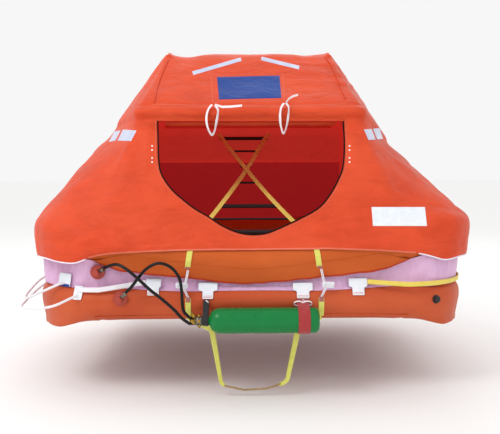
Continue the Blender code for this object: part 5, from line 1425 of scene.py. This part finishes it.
# slings: each hangs from a pin under a tee patch and goes round the bottle; the upper ends are white cord
slings = {"pin": (-0.8043, 0.0985), "steps": 60, "thick": 0.003, "clear": 0.0010, "spacing": 0.006,
          "cord": 0.0030,
          "rows": (("neckSling", -0.2075, 0.0193, 0.026, blackWebbing, "black_rubber", "neck_sling"),
                   ("baseSling", 0.224, 0.0566, 0.052, redWebbing, "red_webbing", "base_sling")),
          "ties": (("neckTie", -0.2075, 0.0985, 0.068), ("baseTie", 0.224, 0.0985, 0.080))}
for name, x, radius, width, material, slot, node in slings["rows"]:
    centre, pin = Vector((0, bottle["y"], bottle["z"])), Vector((0, *slings["pin"]))
    heading = math.atan2(pin.z - centre.z, pin.y - centre.y)
    loop = radius + slings["clear"] + slings["thick"] / 2
    half = math.acos(loop / (pin - centre).length)
    points = [(x, pin.y + 0.002, pin.z), (x, pin.y - 0.002, pin.z)]
    for step in range(slings["steps"] + 1):
        angle = heading + half + (2 * math.pi - 2 * half) * step / slings["steps"]
        points.append((x, centre.y + loop * math.cos(angle), centre.z + loop * math.sin(angle)))
    route = lift(points)
    webbing(name, divided([*route, route[0]], slings["spacing"])[:-1], (1, 0, 0), width, slings["thick"], material,
            slot, "cylinder", [node], closed=True)
for name, x, high, low in slings["ties"]:
    wrap = evenly(0, 1, 40, lambda t: (x + 0.010 * math.sin(t * 5.2), -0.8115 - 0.0035 * math.sin(t * 9) - 0.006 * t,
                                       high + (low - high) * t))
    roundCord(name, lift(wrap), slings["cord"], whiteWebbing, "cylinder", sides=8)
bow = {"centre": (0.224, -0.8290, 0.0865), "reach": 0.040, "loops": 0.0104, "tape": (0.010, 0.0014),
       "knot": ((0, 0.004), (0.003, 0.0075), (0.009, 0.0080), (0.015, 0.0075), (0.018, 0.004))}
bowX, bowY, bowZ = bow["centre"]
for side, word in ((-1, "Left"), (1, "Right")):
    loop = evenly(0.05, 2 * math.pi - 0.05, 40,
                  lambda t: (bowX + side * bow["reach"] * math.sin(t / 2) ** 2, bowY - 0.004 * math.sin(t),
                             bowZ + bow["loops"] * math.sin(t)))
    webbing("bowLoop" + word, lift(loop), (0, 1, 0.4), *bow["tape"], whiteWebbing, "white_webbing", "cylinder")
turned("bowKnot", bow["knot"], (bowX - 0.009, bowY, bowZ - draft), (1, 0, 0), whiteWebbing, "white_webbing",
       "cylinder", sides=20)
print("cylinder and slings made")

# Inlets: red moulded flanges with a ribbed rim and a boss that the hose pushes into; and the relief valve's cap.
flange = {"profile": ((0.0, 0.0335), (0.0012, 0.0340), (0.0040, 0.0338), (0.0052, 0.0325), (0.0056, 0.0270),
                      (0.0070, 0.0255), (0.0078, 0.0180), (0.0100, 0.0152), (0.0150, 0.0150), (0.0300, 0.0150),
                      (0.0310, 0.0142), (0.0330, 0.0142), (0.0340, 0.0150), (0.0460, 0.0150), (0.0500, 0.0138),
                      (0.0520, 0.0100)),
          "relief": ((0.0, 0.0200), (0.0050, 0.0200), (0.0062, 0.0190), (0.0070, 0.0165), (0.0120, 0.0162),
                     (0.0130, 0.0150), (0.0160, 0.0148), (0.0172, 0.0130), (0.0168, 0.0040), (0.0178, 0.0030)),
          "station": 4.5, "tilt": math.pi / 16}
for which, back in (("upper", -0.7605), ("lower", -0.8004)):
    x, z = hose[which]["inlet"]
    turned(which + "Inlet", flange["profile"], (x, back, z - draft), (0, -1, 0), redPlastic, "red_plastic",
           replaces=["inlet_" + which], sides=72, ribs=24, ribDepth=0.0014)
out = ringPlaces([flange["station"]])[1][0] * math.cos(flange["tilt"])
turned("reliefValve", flange["relief"], Vector(onTube([flange["station"]], False, 9.5, -0.004)[0] - below),
       (out[0], out[1], math.sin(flange["tilt"])), valveRubber, "black_rubber", replaces=["relief_valve"], sides=60,
       ribs=20, ribDepth=0.0016)

# Lifelines: flat webbing in the valley between the tubes, pulled tight from patch to patch.
lifeline = {"width": 0.022, "thick": 0.003, "reach": 0.1040,
            "right": ((0.5226, -0.7667, 0.171), (0.5346, -0.7675, 0.171), (0.60, -0.7892, 0.169)),
            "left": ((-0.4816, -0.7663, 0.173), (-0.4936, -0.7672, 0.173), (-0.60, -0.7892, 0.158))}


def lineRun(first, last, reach, height):
    places, outward = ringPlaces(np.arange(first, last + 1e-6, 0.125))
    return [Vector((*point[:2], height)) for point in places + outward * reach]


def freeRun(points):
    return divided([Vector(point) for point in points], 0.02)


for name, route, thick, material, slot in (
        ("Right", freeRun(lifeline["right"]) + lineRun(3, 11, lifeline["reach"], 0.165), lifeline["thick"],
         yellowWebbing, "yellow_webbing"),
        ("Rear", lineRun(11, 29, lifeline["reach"], 0.135), lifeline["thick"], yellowWebbing, "yellow_webbing"),
        ("FrontLeft", freeRun(lifeline["left"]) + lineRun(36, 37, 0.0890, 0.145)[::-1], 0.0026, whiteWebbing,
         "white_webbing")):
    node = "lifeline_front_left" if name == "FrontLeft" else "lifeline_" + name.lower()
    webbing("lifeline" + name, lift(route), (0, 0, 1), lifeline["width"], thick, material, slot, replaces=[node])
print("inlets, valve and lifelines made")

# Underneath: water pockets, which are soft black bags, and the white strap for turning the raft over.
pocket = {"place": (0.56, 0.38), "half": 0.112, "low": -0.042, "high": 0.008, "square": 3.6, "lumps": 0.28,
          "fill": 0.2}
for word, x, y in (("front_left", -1, -1), ("front_right", 1, -1), ("rear_left", -1, 1), ("rear_right", 1, 1)):
    x, y, half = x * pocket["place"][0], y * pocket["place"][1], pocket["half"]
    low, high = (x - half, y - half, pocket["low"]), (x + half, y + half, pocket["high"])
    softBlock("waterPocket_" + word, low, high, pocket["square"], pocketCloth, pocket["lumps"],
              ["water_pocket_" + word])
righting = {"half": 0.60, "height": 0.0038, "strap": (0.045, 0.003)}
route = evenly(-righting["half"], righting["half"], 40, lambda y: (0, y, righting["height"]))
webbing("rightingStrap", lift(route), (1, 0, 0), *righting["strap"], whiteWebbing, "white_webbing",
        replaces=["righting_strap"])
print("underside made")

print("finished")
